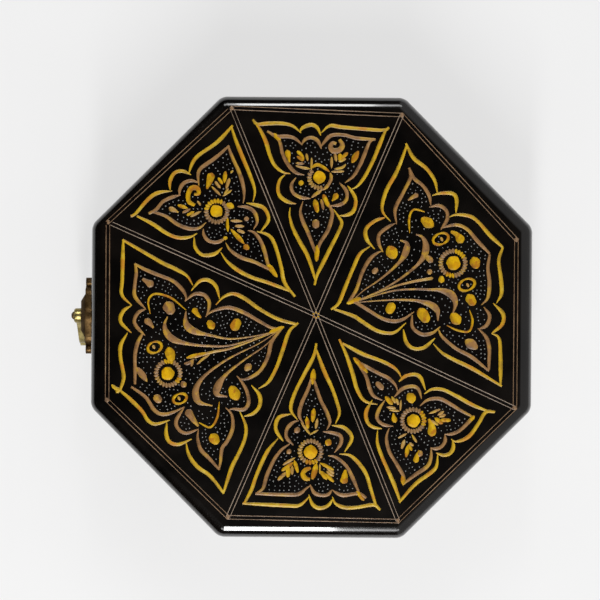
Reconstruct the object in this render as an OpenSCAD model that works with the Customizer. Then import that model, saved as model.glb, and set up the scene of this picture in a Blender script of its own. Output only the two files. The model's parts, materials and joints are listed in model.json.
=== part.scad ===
// Octagonal lacquered wooden box: mitred side boards, a hinged lid with a rounded edge,
// raised painted scrollwork, a cloth lining and a brass swing-hook latch.
// The latch is at the front (-Y), the hinges are at the back (+Y).

/* [Box] */
// Width across two opposite sides
across = 203; // [196:1:216]
// Height of the lower box
body_h = 52; // [50:1:64]
// Height of the lid, rim and top board together
lid_h = 24; // [24:1:28]
// Thickness of the side boards
board_t = 8; // [8:0.5:9]
// Thickness of the lid's top board
top_t = 9; // [8.5:0.5:10]
// Thickness of the base panel
base_t = 5; // [4:0.5:6]
// Rounding of the lid's top edge and of the upright corners
round_r = 6; // [5:0.5:7]
// Gap between the lower box and the lid
gap = 0.3; // [0.3:0.1:0.5]

/* [Lining] */
// Thickness of the wall linings
lining_t = 1.5; // [1:0.5:2]
// Thickness of the floor pad
pad_t = 3; // [2:0.5:4]
// How far the wall linings stop below the edge
lining_drop = 2; // [1:0.5:4]

/* [Hinges] */
// Distance of each hinge's middle from the centre line
hinge_x = 24; // [22:1:28]
// Length of a hinge
hinge_l = 20; // [18:1:22]
// Radius of the knuckles
knuckle_r = 2; // [1.9:0.1:2.1]
// Radius of the hinge pin
pin_r = 1; // [0.9:0.1:1.1]
// Thickness of a leaf
leaf_t = 1; // [0.8:0.1:1.2]
// Leg of the bevel on the back edges, which stops the lid
stop_bevel = 2.6; // [2.6:0.1:2.8]

/* [Latch] */
// How far the hook hangs aside at rest, in degrees
hook_rest = 20; // [20:1:40]
// Distance from the hook's rivet down to the stud
hook_reach = 21; // [20:0.5:22]
// Thickness of the latch plate
plate_t = 3.4; // [3:0.1:3.6]
// Thickness of the hook's arm
arm_t = 2.6; // [2.2:0.1:2.8]

/* [Ornament] */
// Height of the raised paint
paint_t = 0.2; // [0.15:0.05:0.3]
// Width of the outer scrolls
scroll_w = 1.9; // [1.5:0.1:2.1]
// Width of a ruled line
line_w = 0.45; // [0.4:0.05:0.6]
// Distance between the two lines of a pair
line_gap = 1.7; // [1.4:0.1:1.8]

/* [Hidden] */
half = across / 2;
slope = tan(22.5);
total_h = body_h + lid_h;
rim_z = body_h + gap;
top_z = total_h - top_t;
art = across / 203;
rabbet = 4;
fit = 0.02;
run_fit = 0.05;

axis_y = half - knuckle_r + 0.1;
axis_z = body_h + gap / 2;
knuckle_n = 5;
knuckle_gap = 0.1;
notch_r = knuckle_r + 0.3;
leaf_y = half - board_t + 0.8;
screw_r = 0.7;
screw_head = 1.4;
screw_l = 7;
screw_dx = 6.5;
screw_y = leaf_y + 1.7;

pivot_z = body_h + 8;
boss_t = 5.4;
arm_y = boss_t + 0.25;
eye_r = 3.4;
eye_top = 8.9;
rivet_r = 1;
stud_r = 1.5;
stud_z = pivot_z - hook_reach;
catch_t = 2;
nail_r = 0.6;
nail_l = 6;
nail_head = 1.4;
nail_rise = 0.4;
tail_l = 5;
latch_nail_x = 11.6;
plate_reach = 19;
catch_nail_x = 7;

border = half - round_r - line_w;
line_z = [4, 4 + line_gap, body_h - 6.5, body_h - 6.5 + line_gap];
lid_line_z = [rim_z + 3.7, rim_z + 3.7 + line_gap];

lacquer = [0.04, 0.04, 0.05];
yellow = [0.85, 0.66, 0.15];
copper = [0.68, 0.48, 0.28];
tan_line = [0.55, 0.46, 0.38];
velvet = [0.4, 0.05, 0.09];
old_brass = [0.42, 0.33, 0.16];
bright_brass = [0.85, 0.68, 0.28];
steel = [0.6, 0.6, 0.6];

sides = ["front", "front_right", "right", "back_right", "back", "back_left", "left", "front_left"];
back_sides = [3, 4, 5];
front_side = 0;

// ---- Brush strokes -------------------------------------------------------------------------
// A stroke is a ribbon along a smooth curve through a few points. It swells from a pointed
// start to its full width and runs out to a pointed end, as a loaded brush leaves it.

function knot(p, i) =
    i < 0 ? 2 * p[0] - p[1] :
    i > len(p) - 1 ? 2 * p[len(p) - 1] - p[len(p) - 2] : p[i];

function on_curve(p, s) =
    let (i = min(floor(s), len(p) - 2), t = s - i)
    let (a = knot(p, i - 1), b = p[i], c = p[i + 1], d = knot(p, i + 2))
    0.5 * (2 * b + (c - a) * t + (2 * a - 5 * b + 4 * c - d) * t * t
        + (3 * b - a - 3 * c + d) * t * t * t);

function across_curve(p, s) =
    let (d = on_curve(p, min(s + 0.05, len(p) - 1)) - on_curve(p, max(s - 0.05, 0)))
    [-d[1], d[0]] / norm(d);

function swell(s, lead, tail) =
    let (up = min(s / 0.3, 1), down = min((1 - s) / 0.35, 1))
    (lead + (1 - lead) * sin(90 * up)) * (tail + (1 - tail) * sin(90 * down));

function ribbon_side(p, w, side, steps, lead, tail) =
    let (n = (len(p) - 1) * steps)
    [for (i = [0:n]) let (s = i / steps)
        on_curve(p, s) + side * w / 2 * swell(i / n, lead, tail) * across_curve(p, s)];

function turned(list) = [for (i = [len(list) - 1:-1:0]) list[i]];

module stroke(p, w, steps = 2, lead = 0.2, tail = 0.2) {
    polygon(concat(
        ribbon_side(p, w, 1, steps, lead, tail),
        turned(ribbon_side(p, w, -1, steps, lead, tail))));
}

module strokes(list, w) {
    for (p = list) stroke(p * art, w * art);
}

// Points of the painted panels: x runs across the panel, y runs out from the lid's centre.
small_outer = [
    [[-28, 90.5], [-20.5, 88.8], [-12.5, 89], [-6.8, 86]],
    [[-5.6, 86], [-3.5, 89], [0, 90], [3, 88.4], [4, 85.6]],
    [[5.2, 86], [10, 88.6], [20, 88], [34, 88.4]],
    [[32.6, 86.6], [27.5, 76], [23, 65.5], [18, 58.8]],
    [[17.2, 58], [19, 54], [17.5, 48.5], [11.8, 46]],
    [[11, 46.4], [13, 42], [8.5, 31], [0.9, 17]],
    [[-0.5, 19], [-5.5, 32], [-9.5, 42], [-9.3, 50.4]],
    [[-9.6, 52], [-14.5, 54], [-16, 59], [-13.4, 64]],
    [[-13, 65.4], [-18.5, 69.5], [-21.5, 79], [-25.4, 88]],
];
small_inner = [
    [[-21.5, 85.5], [-16, 84.2], [-10.5, 84.3], [-6.2, 81.2]],
    [[-4.6, 81.2], [-3, 83.4], [-0.6, 84], [2.4, 83], [3.8, 80.4]],
    [[5.4, 81], [8, 83.6], [14.5, 84.2], [27.5, 82.8]],
    [[25.8, 81], [22.6, 74], [18.5, 65.5], [13.6, 61.4]],
    [[12.6, 60.4], [14.8, 56.5], [13.4, 51.8], [8, 50]],
    [[6.8, 49.4], [7.4, 44.5], [5, 37.5], [1, 28]],
    [[-0.8, 32], [-4.3, 41.5], [-5.6, 48], [-4.4, 52]],
    [[-3.8, 53.6], [-8.5, 55], [-10.9, 58.6], [-8.6, 63.2]],
    [[-7.8, 65.4], [-13, 68.5], [-16.3, 76], [-18.8, 83]],
];
large_outer = [
    [[3, 94.4], [-4, 91], [-13, 87.8], [-17.4, 83.5], [-18.7, 78.4]],
    [[-19.6, 80], [-24.3, 82.7], [-28.6, 81.8], [-30.6, 77.5], [-30.9, 73]],
    [[-31.8, 75.6], [-38, 76.7], [-46, 74], [-58.6, 70]],
    [[-56, 69], [-49, 62], [-40.6, 52.4], [-35, 48.3], [-28, 49.2]],
    [[-29.8, 47.4], [-30.3, 43], [-28.3, 38.3], [-23.7, 36.7], [-18.8, 38.6]],
    [[-20.6, 36.2], [-19.3, 31], [-14.6, 25.3], [-8, 19], [-0.4, 10]],
    [[0.9, 11], [6, 16.4], [18.4, 25.2], [22.6, 31], [21, 38.4]],
    [[23, 36.4], [28.7, 35.7], [32.9, 38], [34, 42.4], [31.8, 47.2]],
    [[33.6, 46.4], [39, 47.7], [50, 56.8], [64.5, 67.4]],
    [[62, 69], [50, 73.9], [42.7, 76.7], [38.4, 74.8]],
    [[37.6, 75.6], [36.2, 80], [32, 82.3], [26.6, 80.4]],
    [[4.8, 92.8], [11, 89.6], [20, 87.2], [25.6, 82.2]],
];
large_inner = [
    [[3, 88.4], [-4, 84.7], [-11, 82.3], [-14.7, 79], [-15.7, 73]],
    [[-17.2, 74.6], [-21, 76.7], [-25.4, 75.2], [-27, 70.6]],
    [[-28.2, 70], [-34, 71.2], [-40, 69.4], [-47.7, 67.4]],
    [[-45, 65.6], [-38, 59.5], [-32.3, 54], [-25.4, 52]],
    [[-25.8, 50.2], [-25.8, 45], [-21.4, 41.3], [-16, 41.6]],
    [[-15.7, 39.8], [-14.3, 34], [-8.5, 26.6], [-0.4, 17]],
    [[1.8, 19.2], [8, 24.8], [16, 31.8], [18.5, 38], [17.4, 43.4]],
    [[19, 43], [23.8, 41], [28.4, 44], [28.4, 50.4]],
    [[29.6, 51.2], [36, 52.4], [44, 58.4], [54, 65.6]],
    [[52, 67.2], [44.7, 70.2], [39, 71.2], [34, 69.8]],
    [[33, 70.8], [32.6, 74.6], [29.4, 76.4], [25.4, 75.4]],
    [[4.8, 86.8], [11, 83.8], [18.6, 81], [23.8, 76.6]],
];
large_plumes = [
    [[-3.4, 26], [-5, 35], [-7.7, 44.7], [-11, 51], [-15.5, 54]],
    [[-0.9, 28], [-1.4, 38.7], [-3.2, 48.7], [-6.6, 57], [-12, 61.6]],
    [[0.9, 26], [1.3, 38.7], [2.4, 48.7], [4, 59]],
    [[2.9, 38], [6, 50], [9.6, 57], [14, 62], [19, 64]],
    [[4.8, 31], [6.6, 38.7], [10.4, 47.2], [14.6, 52.4], [20, 54.6]],
];
large_arcs = [
    [[-24.6, 66.6], [-28.6, 62.8], [-25.6, 58.4], [-19, 55.4]],
    [[26.6, 68.2], [33, 67.4], [35.6, 63], [31, 58]],
];
// One quarter of a side's painted panel, from the panel's middle.
side_outer = [
    [[1.2, 17], [5.4, 14.6], [11.4, 13.6], [16.2, 11.2], [17.9, 7]],
    [[19.2, 8.6], [22.4, 11.2], [26.4, 10.6], [28.6, 7.2], [28.8, 3.6]],
    [[30, 5.2], [32.6, 5.4], [35.6, 3], [38.2, 0.8]],
];
side_inner = [
    [[1.2, 12.4], [5, 10.4], [9.8, 9.6], [13, 7.6], [14.2, 4.2]],
    [[15.4, 5], [17.8, 7], [21.6, 7], [24, 4.8], [24.6, 2]],
    [[25.6, 2.8], [27.6, 2.8], [30.4, 1.8], [33, 0.7]],
];
// Leaves of one sprig around its own foot: [length, angle]
sprig_leaves = [[3, 28], [3.8, 62], [4.4, 92], [3.8, 122], [3, 152]];

// Where the flowers sit in the two kinds of panel, and the sprigs: [x, y, turn]
small_flower = [2, 65];
large_flower = [1.4, 70.6];
small_sprigs = [[-8.4, 72.4, 30], [13, 70.2, -15], [2, 50.4, 0]];
large_daubs = [[-7.4, 78.2], [6, 80.4], [20.6, 70.4], [-20.6, 67.6], [27, 61.6], [41, 63.4],
    [20.6, 48.6], [-17, 47.4], [10.2, 35.6], [-9.2, 35.8], [-35, 64]];
large_eyes = [[-11.2, 69.8], [13.9, 72.2]];
flower_dot_r = 2.8;
flower_ring = [4.1, 5.4];
petal_n = 12;
petal_r = 1;
daub_r = 2.1;
eye_ring = [2.1, 2.9];
leaf_w = 1.1;
leaf_foot = 0.9;
// On each side: the height of the panel's middle, a sprig's place and turn, the inner scrolls'
// share of width, and the half width and height kept bare under the catch
side_mid = body_h / 2 - 0.2;
side_sprig = [8.6, 0, -90];
inner_share = 0.85;
catch_bare = [10.6, 6.6];
plume_share = 0.7;
arc_share = 0.5;

// Turn of each painted panel: four cover one side, two cover two sides.
small_turns = [90, 135, 270, 315];
large_turns = [22.5, 202.5];
spoke_turns = [22.5, 67.5, 157.5, 202.5, 247.5, 337.5];

$fn = 64;

// ---- Boards --------------------------------------------------------------------------------

module octagon(apothem) {
    rotate(22.5) circle(r = apothem / cos(22.5), $fn = 8);
}

// Plan of one side board facing +X: mitred ends, upright corner rounded with its neighbour.
module board_plan() {
    inner = half - round_r;
    tip = inner / cos(22.5) + round_r;
    inside = half - board_t;
    difference() {
        intersection() {
            polygon([[0, 0], 2 * half * [1, -slope], 2 * half * [1, slope]]);
            union() {
                polygon([[0, 0], tip * [cos(22.5), -sin(22.5)], [half, -inner * slope],
                    [half, inner * slope], tip * [cos(22.5), sin(22.5)]]);
                for (s = [-1, 1]) translate(inner * [1, s * slope]) circle(r = round_r);
            }
        }
        polygon([[-1, 0], inside * [1, -slope], inside * [1, slope]]);
    }
}

// Places its children facing outwards on side k.
module on_side(k) {
    rotate(45 * k - 90) children();
}

// Places its children on side k's outer face: x across, y up, z outwards.
module on_face(k) {
    on_side(k) translate([half, 0, 0]) rotate([90, 0, 90]) children();
}

// Bevel along the whole back, cut on the lower box's top edge.
module back_bevel() {
    rotate([90, 0, 90]) linear_extrude(across, center = true)
        polygon([[half - stop_bevel - 1, body_h + 1], [half + 1, body_h + 1],
            [half + 1, body_h - stop_bevel - 1]]);
}

// Turns what is made for the lower box's edge into its match on the lid's edge.
module lid_match() {
    translate([0, 0, axis_z]) mirror([0, 0, 1]) translate([0, 0, -axis_z]) children();
}

module both_hinges() {
    for (s = [-1, 1]) translate([s * hinge_x, 0, 0]) children();
}

// Room for the leaf, the knuckles and the screws of each hinge.
module hinge_room() {
    both_hinges() {
        translate([-hinge_l / 2, leaf_y, body_h - leaf_t])
            cube([hinge_l, axis_y - leaf_y, leaf_t + 1]);
        translate([-hinge_l / 2 - 1, axis_y, axis_z])
            rotate([0, 90, 0]) cylinder(r = notch_r, h = hinge_l + 2);
        screw_places() translate([0, 0, -screw_l]) cylinder(r = screw_r + fit, h = screw_l);
    }
}

module screw_places() {
    for (s = [-1, 1]) translate([s * screw_dx, screw_y, body_h]) children();
}

// Holes behind the latch's plates, for nails and for the rivet or stud.
module fixing_holes(z, nail_x, post_r) {
    on_face(front_side) translate([0, z, -nail_l]) {
        for (s = [-1, 1]) translate([s * nail_x, 0, 0]) cylinder(r = nail_r + fit, h = nail_l + 1);
        translate([0, 0, nail_l - tail_l]) cylinder(r = post_r + fit, h = tail_l + 1);
    }
}

module is_back(k) {
    if (len(search(k, back_sides)) > 0) children();
}

module wall(k) {
    color(lacquer) difference() {
        on_side(k) linear_extrude(body_h) board_plan();
        translate([0, 0, -1]) linear_extrude(base_t + 1) octagon(half - rabbet);
        is_back(k) back_bevel();
        if (k == 4) hinge_room();
        if (k == front_side) fixing_holes(stud_z, catch_nail_x, stud_r);
    }
}

module lid_rim(k) {
    color(lacquer) difference() {
        on_side(k) translate([0, 0, rim_z]) linear_extrude(top_z - rim_z) board_plan();
        is_back(k) lid_match() back_bevel();
        if (k == 4) lid_match() hinge_room();
        if (k == front_side) fixing_holes(pivot_z, latch_nail_x, rivet_r);
    }
}

module base_panel() {
    color(lacquer) linear_extrude(base_t) octagon(half - rabbet);
}

// Top board: balls in the eight corners drawn together over a straight foot.
module lid_panel() {
    ball_at = (half - round_r) / cos(22.5);
    color(lacquer) intersection() {
        hull() {
            for (k = [0:7]) rotate(45 * k + 22.5) translate([ball_at, 0, 0]) {
                translate([0, 0, total_h - round_r]) sphere(r = round_r, $fn = 32);
                translate([0, 0, top_z - round_r]) cylinder(r = round_r, h = round_r, $fn = 32);
            }
        }
        translate([0, 0, top_z]) linear_extrude(top_t) octagon(half + 1);
    }
}

// ---- Linings -------------------------------------------------------------------------------

module floor_lining() {
    color(velvet) translate([0, 0, base_t]) linear_extrude(pad_t) octagon(half - board_t);
}

module lining(k) {
    outside = half - board_t;
    inside = outside - lining_t;
    color(velvet) on_side(k) translate([0, 0, base_t + pad_t])
        linear_extrude(body_h - lining_drop - base_t - pad_t)
            polygon([inside * [1, -slope], outside * [1, -slope], outside * [1, slope],
                inside * [1, slope]]);
}

module lid_lining() {
    color(velvet) translate([0, 0, top_z - pad_t]) linear_extrude(pad_t) octagon(half - board_t);
}

// ---- Hinges --------------------------------------------------------------------------------

module knuckles(first, r, grow) {
    pitch = hinge_l / knuckle_n;
    for (i = [first:2:knuckle_n - 1])
        translate([-hinge_l / 2 + i * pitch + knuckle_gap / 2 - grow, axis_y, axis_z])
            rotate([0, 90, 0]) cylinder(r = r, h = pitch - knuckle_gap + 2 * grow);
}

// Leaf lying in the lower box's edge, with the knuckles first, first + 2, ...
module leaf(first, bore) {
    difference() {
        union() {
            difference() {
                translate([-hinge_l / 2, leaf_y, body_h - leaf_t])
                    cube([hinge_l, axis_y - leaf_y, leaf_t]);
                knuckles(1 - first, notch_r, knuckle_gap);
            }
            knuckles(first, knuckle_r, 0);
        }
        translate([-hinge_l, axis_y, axis_z])
            rotate([0, 90, 0]) cylinder(r = bore, h = 2 * hinge_l);
        screw_places() screw_shape(fit);
    }
}

// Countersunk screw with its head flush with z = 0.
module screw_shape(grow) {
    translate([0, 0, -screw_l]) cylinder(r = screw_r + grow, h = screw_l);
    translate([0, 0, -screw_head / 2])
        cylinder(r1 = screw_r + grow, r2 = screw_head + grow, h = screw_head / 2);
}

module screws() {
    slot_w = 0.4;
    slot_deep = 0.3;
    both_hinges() screw_places() difference() {
        screw_shape(0);
        translate([-slot_w / 2, -screw_head, -slot_deep]) cube([slot_w, 2 * screw_head, 1]);
    }
}

module body_leaf(s) {
    color(old_brass) translate([s * hinge_x, 0, 0]) leaf(0, pin_r + fit);
}

module lid_leaf(s) {
    color(old_brass) translate([s * hinge_x, 0, 0]) lid_match() leaf(1, pin_r + run_fit);
}

module hinge_pin(s) {
    head_t = 0.5;
    head_r = pin_r + 0.5;
    shaft = hinge_l / 2 - knuckle_gap / 2;
    color(steel) translate([s * hinge_x, axis_y, axis_z]) rotate([0, 90, 0]) {
        cylinder(r = pin_r, h = 2 * shaft, center = true);
        for (m = [0, 1]) mirror([0, 0, m])
            translate([0, 0, shaft]) cylinder(r1 = head_r, r2 = pin_r, h = head_t);
    }
}

module body_hinge_screws() {
    color(old_brass) screws();
}

module lid_hinge_screws() {
    color(old_brass) lid_match() screws();
}

// ---- Latch and catch -----------------------------------------------------------------------

// Cast plate: scalloped outline with a bead at each end, and a chamfered boss in the middle.
module latch_plate() {
    lobe = [7.2, 5, 2.2];
    lobe_x = [0, 9, 15.5];
    neck = 2.6;
    boss = [9.8, 6.8];
    boss_up = [6.4, 4.4];
    color(old_brass) on_face(front_side) translate([0, pivot_z, 0]) difference() {
        union() {
            linear_extrude(plate_t) {
                for (i = [0:2], s = [-1, 1]) translate([s * lobe_x[i], 0]) circle(r = lobe[i]);
                square([2 * lobe_x[2], neck], center = true);
            }
            intersection() {
                rotate([90, 0, 0]) linear_extrude(4 * boss_up[0], center = true)
                    chamfered(boss[0], boss[1]);
                rotate([90, 0, 90]) linear_extrude(4 * boss[0], center = true)
                    chamfered(boss_up[0], boss_up[1]);
            }
        }
        translate([0, 0, -1]) cylinder(r = rivet_r + fit, h = boss_t + 2);
        for (s = [-1, 1]) translate([s * latch_nail_x, 0, -1])
            cylinder(r = nail_r + fit, h = plate_t + 2);
    }
}

// Half-height outline of the boss: foot and top given as half widths.
module chamfered(foot, top) {
    polygon([[-foot, 0], [foot, 0], [foot, plate_t], [top, boss_t],
        [-top, boss_t], [-foot, plate_t]]);
}

module nail(t) {
    translate([0, 0, -nail_l]) cylinder(r = nail_r, h = nail_l + t);
    translate([0, 0, t]) cylinder(r1 = nail_head, r2 = nail_head / 2, h = nail_rise);
}

module latch_nails() {
    color(old_brass) on_face(front_side)
        for (s = [-1, 1]) translate([s * latch_nail_x, pivot_z, 0]) nail(plate_t);
}

module catch_nails() {
    color(old_brass) on_face(front_side)
        for (s = [-1, 1]) translate([s * catch_nail_x, stud_z, 0]) nail(catch_t);
}

// Swing hook: an eye with a raised boss, and a curved arm that closes round the stud from +X.
hook_line = [[0, -1], [0.9, -9], [2.5, -15], [3.9, -20.6], [2.9, -24.9], [0, -26.3],
    [-2.8, -25.3]];
hook_tail = [[3.2, -23.8], [4, -27], [3.2, -29.8]];
hook_w = 3.7;
tail_w = 2.6;
bead_r = 1.3;
eye_draft = 0.6;

module hook() {
    last = len(hook_line) - 1;
    shrink = hook_reach / 21;
    color(bright_brass) on_face(front_side) translate([0, pivot_z, 0]) rotate(hook_rest) difference() {
        union() {
            translate([0, 0, arm_y]) linear_extrude(arm_t) {
                circle(r = eye_r);
                stroke(hook_line * shrink, hook_w, 4, 1, 0.5);
                stroke(hook_tail * shrink, tail_w, 4, 0.8, 0.6);
                translate(hook_line[last] * shrink) circle(r = bead_r);
                translate(hook_tail[2] * shrink) circle(r = bead_r);
            }
            translate([0, 0, arm_y + arm_t])
                cylinder(r1 = eye_r, r2 = eye_r - eye_draft, h = eye_top - arm_y - arm_t);
        }
        cylinder(r = rivet_r + run_fit, h = eye_top + 1);
    }
}

module hook_rivet() {
    head = [eye_top + 0.1, eye_top + 0.6, eye_top + 1.3];
    head_r = 1.8;
    color(old_brass) on_face(front_side) translate([0, pivot_z, 0]) rotate_extrude()
        polygon([[0, -tail_l], [rivet_r, -tail_l], [rivet_r, head[0]], [head_r, head[0]],
            [head_r, head[1]], [head_r / 2, head[2]], [0, head[2]]]);
}

module catch_plate() {
    middle = 5.8;
    ear = 2.8;
    dome_t = 1;
    color(old_brass) on_face(front_side) translate([0, stud_z, 0]) difference() {
        union() {
            linear_extrude(catch_t) {
                circle(r = middle);
                for (s = [-1, 1]) translate([s * catch_nail_x, 0]) circle(r = ear);
            }
            translate([0, 0, catch_t]) cylinder(r1 = middle - 1.4, r2 = middle - 2.4, h = dome_t);
        }
        translate([0, 0, -1]) cylinder(r = stud_r + fit, h = catch_t + dome_t + 2);
        for (s = [-1, 1]) translate([s * catch_nail_x, 0, -1])
            cylinder(r = nail_r + fit, h = catch_t + 2);
    }
}

// Mushroom stud that the hook closes round.
module catch_stud() {
    head = arm_y + arm_t + 0.3;
    head_r = 2.8;
    rim_t = 0.6;
    crown_t = 1.5;
    color(bright_brass) on_face(front_side) translate([0, stud_z, 0]) rotate_extrude()
        polygon([[0, -tail_l], [stud_r, -tail_l], [stud_r, head], [head_r, head],
            [head_r, head + rim_t], [head_r / 2, head + crown_t], [0, head + crown_t]]);
}

// ---- Raised paint --------------------------------------------------------------------------

// Raises flat shapes on the lid's top.
module on_top() {
    translate([0, 0, total_h]) linear_extrude(paint_t) children();
}

module small_panels() {
    for (a = small_turns) rotate(a) children();
}

module large_panels() {
    for (a = large_turns) rotate(a) children();
}

module lid_ruled_lines() {
    color(tan_line) translate([0, 0, total_h]) linear_extrude(paint_t / 2) {
        for (a = [border, border - line_gap]) difference() {
            octagon(a);
            octagon(a - line_w);
        }
        for (a = spoke_turns, s = [-1, 1]) rotate(a)
            translate([0, s * line_gap / 2 - line_w / 2])
                square([(border - line_w - line_gap / 2) / cos(22.5), line_w]);
    }
}

module outer_scrolls() {
    color(yellow) on_top() {
        small_panels() strokes(small_outer, scroll_w);
        large_panels() strokes(large_outer, scroll_w);
    }
}

module inner_scrolls() {
    color(copper) on_top() {
        small_panels() strokes(small_inner, scroll_w);
        large_panels() strokes(large_inner, scroll_w);
    }
}

// A flower is a dot inside a ring of round petals.
module flower() {
    circle(r = flower_dot_r * art, $fn = 24);
    difference() {
        union() {
            circle(r = flower_ring[1] * art);
            for (i = [0:petal_n - 1]) rotate(360 / petal_n * i)
                translate([flower_ring[1] * art, 0]) circle(r = petal_r * art, $fn = 16);
        }
        circle(r = flower_ring[0] * art);
    }
}

module sprig() {
    for (leaf = sprig_leaves) rotate(leaf[1])
        stroke([[leaf_foot, 0], [leaf[0] * 0.6, 0.3], [leaf[0], 0]] * art, leaf_w * art);
}

module eye() {
    difference() {
        circle(r = eye_ring[1] * art);
        circle(r = eye_ring[0] * art);
    }
    circle(r = eye_ring[0] / 2 * art, $fn = 16);
}

module lid_flowers() {
    color(yellow) on_top() {
        small_panels() translate(small_flower * art) flower();
        large_panels() translate(large_flower * art) flower();
    }
}

module lid_sprays() {
    color(copper) on_top() {
        small_panels() for (s = small_sprigs)
            translate([s[0], s[1]] * art) rotate(s[2]) sprig();
        large_panels() {
            strokes(large_plumes, scroll_w * plume_share);
            strokes(large_arcs, scroll_w * arc_share);
            for (p = large_daubs) translate(p * art) circle(r = daub_r * art, $fn = 16);
            for (p = large_eyes) translate(p * art) eye();
        }
    }
}

// Ruled lines on every side, broken on the front where the latch's plate covers them.
module side_lines(levels, keep_off) {
    run = 2 * (half - round_r) * slope;
    for (k = [0:7], z = levels) on_face(k) linear_extrude(paint_t / 2) difference() {
        translate([-run / 2, z]) square([run, line_w]);
        if (k == front_side && keep_off > 0)
            translate([-keep_off, 0]) square([2 * keep_off, total_h]);
    }
}

module lid_side_lines() {
    color(tan_line) side_lines(lid_line_z, plate_reach);
}

module body_side_lines() {
    color(tan_line) side_lines(line_z, 0);
}

// A side's painted panel about its middle, kept bare under the catch on the front.
module side_panel(k) {
    difference() {
        translate([0, side_mid]) children();
        if (k == front_side) translate([-catch_bare[0], stud_z - catch_bare[1]])
            square(2 * catch_bare);
    }
}

module body_scrolls() {
    color(yellow) for (k = [0:7]) on_face(k) linear_extrude(paint_t) side_panel(k)
        for (m = [0, 1], n = [0, 1]) mirror([m, 0]) mirror([0, n]) {
            strokes(side_outer, scroll_w);
            strokes(side_inner, scroll_w * inner_share);
        }
}

module body_flowers() {
    color(yellow) for (k = [0:7]) on_face(k) linear_extrude(paint_t) side_panel(k) {
        flower();
        for (m = [0, 1]) mirror([m, 0])
            translate([side_sprig[0] * art, side_sprig[1]]) rotate(side_sprig[2]) sprig();
    }
}

// ---- Assembly ------------------------------------------------------------------------------

base_panel();
for (k = [0:7]) {
    wall(k);
    lining(k);
    lid_rim(k);
}
floor_lining();
lid_panel();
lid_lining();
body_leaf(-1);  // hinge_left_body_leaf
lid_leaf(-1);  // hinge_left_lid_leaf
hinge_pin(-1);  // hinge_left_pin
body_leaf(1);  // hinge_right_body_leaf
lid_leaf(1);  // hinge_right_lid_leaf
hinge_pin(1);  // hinge_right_pin
body_hinge_screws();
lid_hinge_screws();
latch_plate();
latch_nails();
hook();
hook_rivet();
catch_plate();
catch_nails();
catch_stud();
lid_ruled_lines();
outer_scrolls();
inner_scrolls();
lid_flowers();
lid_sprays();
lid_side_lines();
body_side_lines();
body_scrolls();
body_flowers();
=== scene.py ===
# Octagonal lacquered box: painted scrollwork, velvet lining, brass hinges and swing-hook latch
import json
import math
import random

import bpy
from mathutils import Matrix, Vector

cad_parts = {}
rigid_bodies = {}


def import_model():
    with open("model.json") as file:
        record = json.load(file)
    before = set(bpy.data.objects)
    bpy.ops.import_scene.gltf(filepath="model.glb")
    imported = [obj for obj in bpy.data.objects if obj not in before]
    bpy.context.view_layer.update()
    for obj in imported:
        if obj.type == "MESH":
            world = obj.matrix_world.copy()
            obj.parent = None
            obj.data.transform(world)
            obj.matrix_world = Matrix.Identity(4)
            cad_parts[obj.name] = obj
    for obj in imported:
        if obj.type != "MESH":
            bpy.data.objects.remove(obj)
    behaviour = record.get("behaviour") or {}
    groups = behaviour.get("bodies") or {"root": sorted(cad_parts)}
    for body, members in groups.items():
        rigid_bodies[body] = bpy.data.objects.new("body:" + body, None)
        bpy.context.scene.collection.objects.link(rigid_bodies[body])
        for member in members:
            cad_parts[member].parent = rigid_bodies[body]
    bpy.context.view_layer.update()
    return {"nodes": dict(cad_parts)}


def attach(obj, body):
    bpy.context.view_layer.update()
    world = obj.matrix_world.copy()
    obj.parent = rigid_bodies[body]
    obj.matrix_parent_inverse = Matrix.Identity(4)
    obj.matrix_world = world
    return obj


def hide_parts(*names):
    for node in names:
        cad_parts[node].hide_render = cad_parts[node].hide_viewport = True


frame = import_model()
mm = 0.001

# Sizes shared by several pieces, in millimetres
box = {
    "half": 101.5,       # centre to the middle of a side
    "topZ": 76.0,        # the lid's painted face
    "roundR": 6.0,       # rounding of the lid's top edge and of the upright corners
    "panelZ": 67.0,      # underside of the lid's top board
    "handTurn": 0.4,     # the painter's layout stands this far round from the sides, degrees
    "artScale": 0.9925,  # and is laid on at this share of the size it is written at
    "paintTo": 0.95,     # paint follows the rounded edge this far over, as a share of its radius
    "sharp": 40,         # an edge that turns by more than this is eased, degrees
}
sideTurns = [45 * k for k in range(8)]
mitre = math.radians(22.5)
print("box: frame loaded")


# Small helpers

def deselectAll():
    bpy.ops.object.select_all(action="DESELECT")


def takeUp(piece):
    deselectAll()
    piece.select_set(True)
    bpy.context.view_layer.objects.active = piece


def joinAll(pieces, name):
    deselectAll()
    for piece in pieces:
        piece.select_set(True)
    bpy.context.view_layer.objects.active = pieces[0]
    if len(pieces) > 1:
        bpy.ops.object.join()
    whole = bpy.context.view_layer.objects.active
    whole.name = name
    whole.data.name = name
    return whole


def faceOutwards(piece, mergeAt=0.005):
    takeUp(piece)
    bpy.ops.object.mode_set(mode="EDIT")
    bpy.ops.mesh.select_all(action="SELECT")
    bpy.ops.mesh.remove_doubles(threshold=mergeAt * mm)
    bpy.ops.mesh.normals_make_consistent(inside=False)
    bpy.ops.object.mode_set(mode="OBJECT")


def smoothOver(piece, angle=35):
    takeUp(piece)
    bpy.ops.object.shade_smooth_by_angle(angle=math.radians(angle))


def evenOut(piece):
    # the big flat faces keep their own normals, and only the rounded edges turn
    takeUp(piece)
    weighted = piece.modifiers.new("weighted", "WEIGHTED_NORMAL")
    weighted.keep_sharp = True
    bpy.ops.object.modifier_apply(modifier="weighted")


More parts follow.
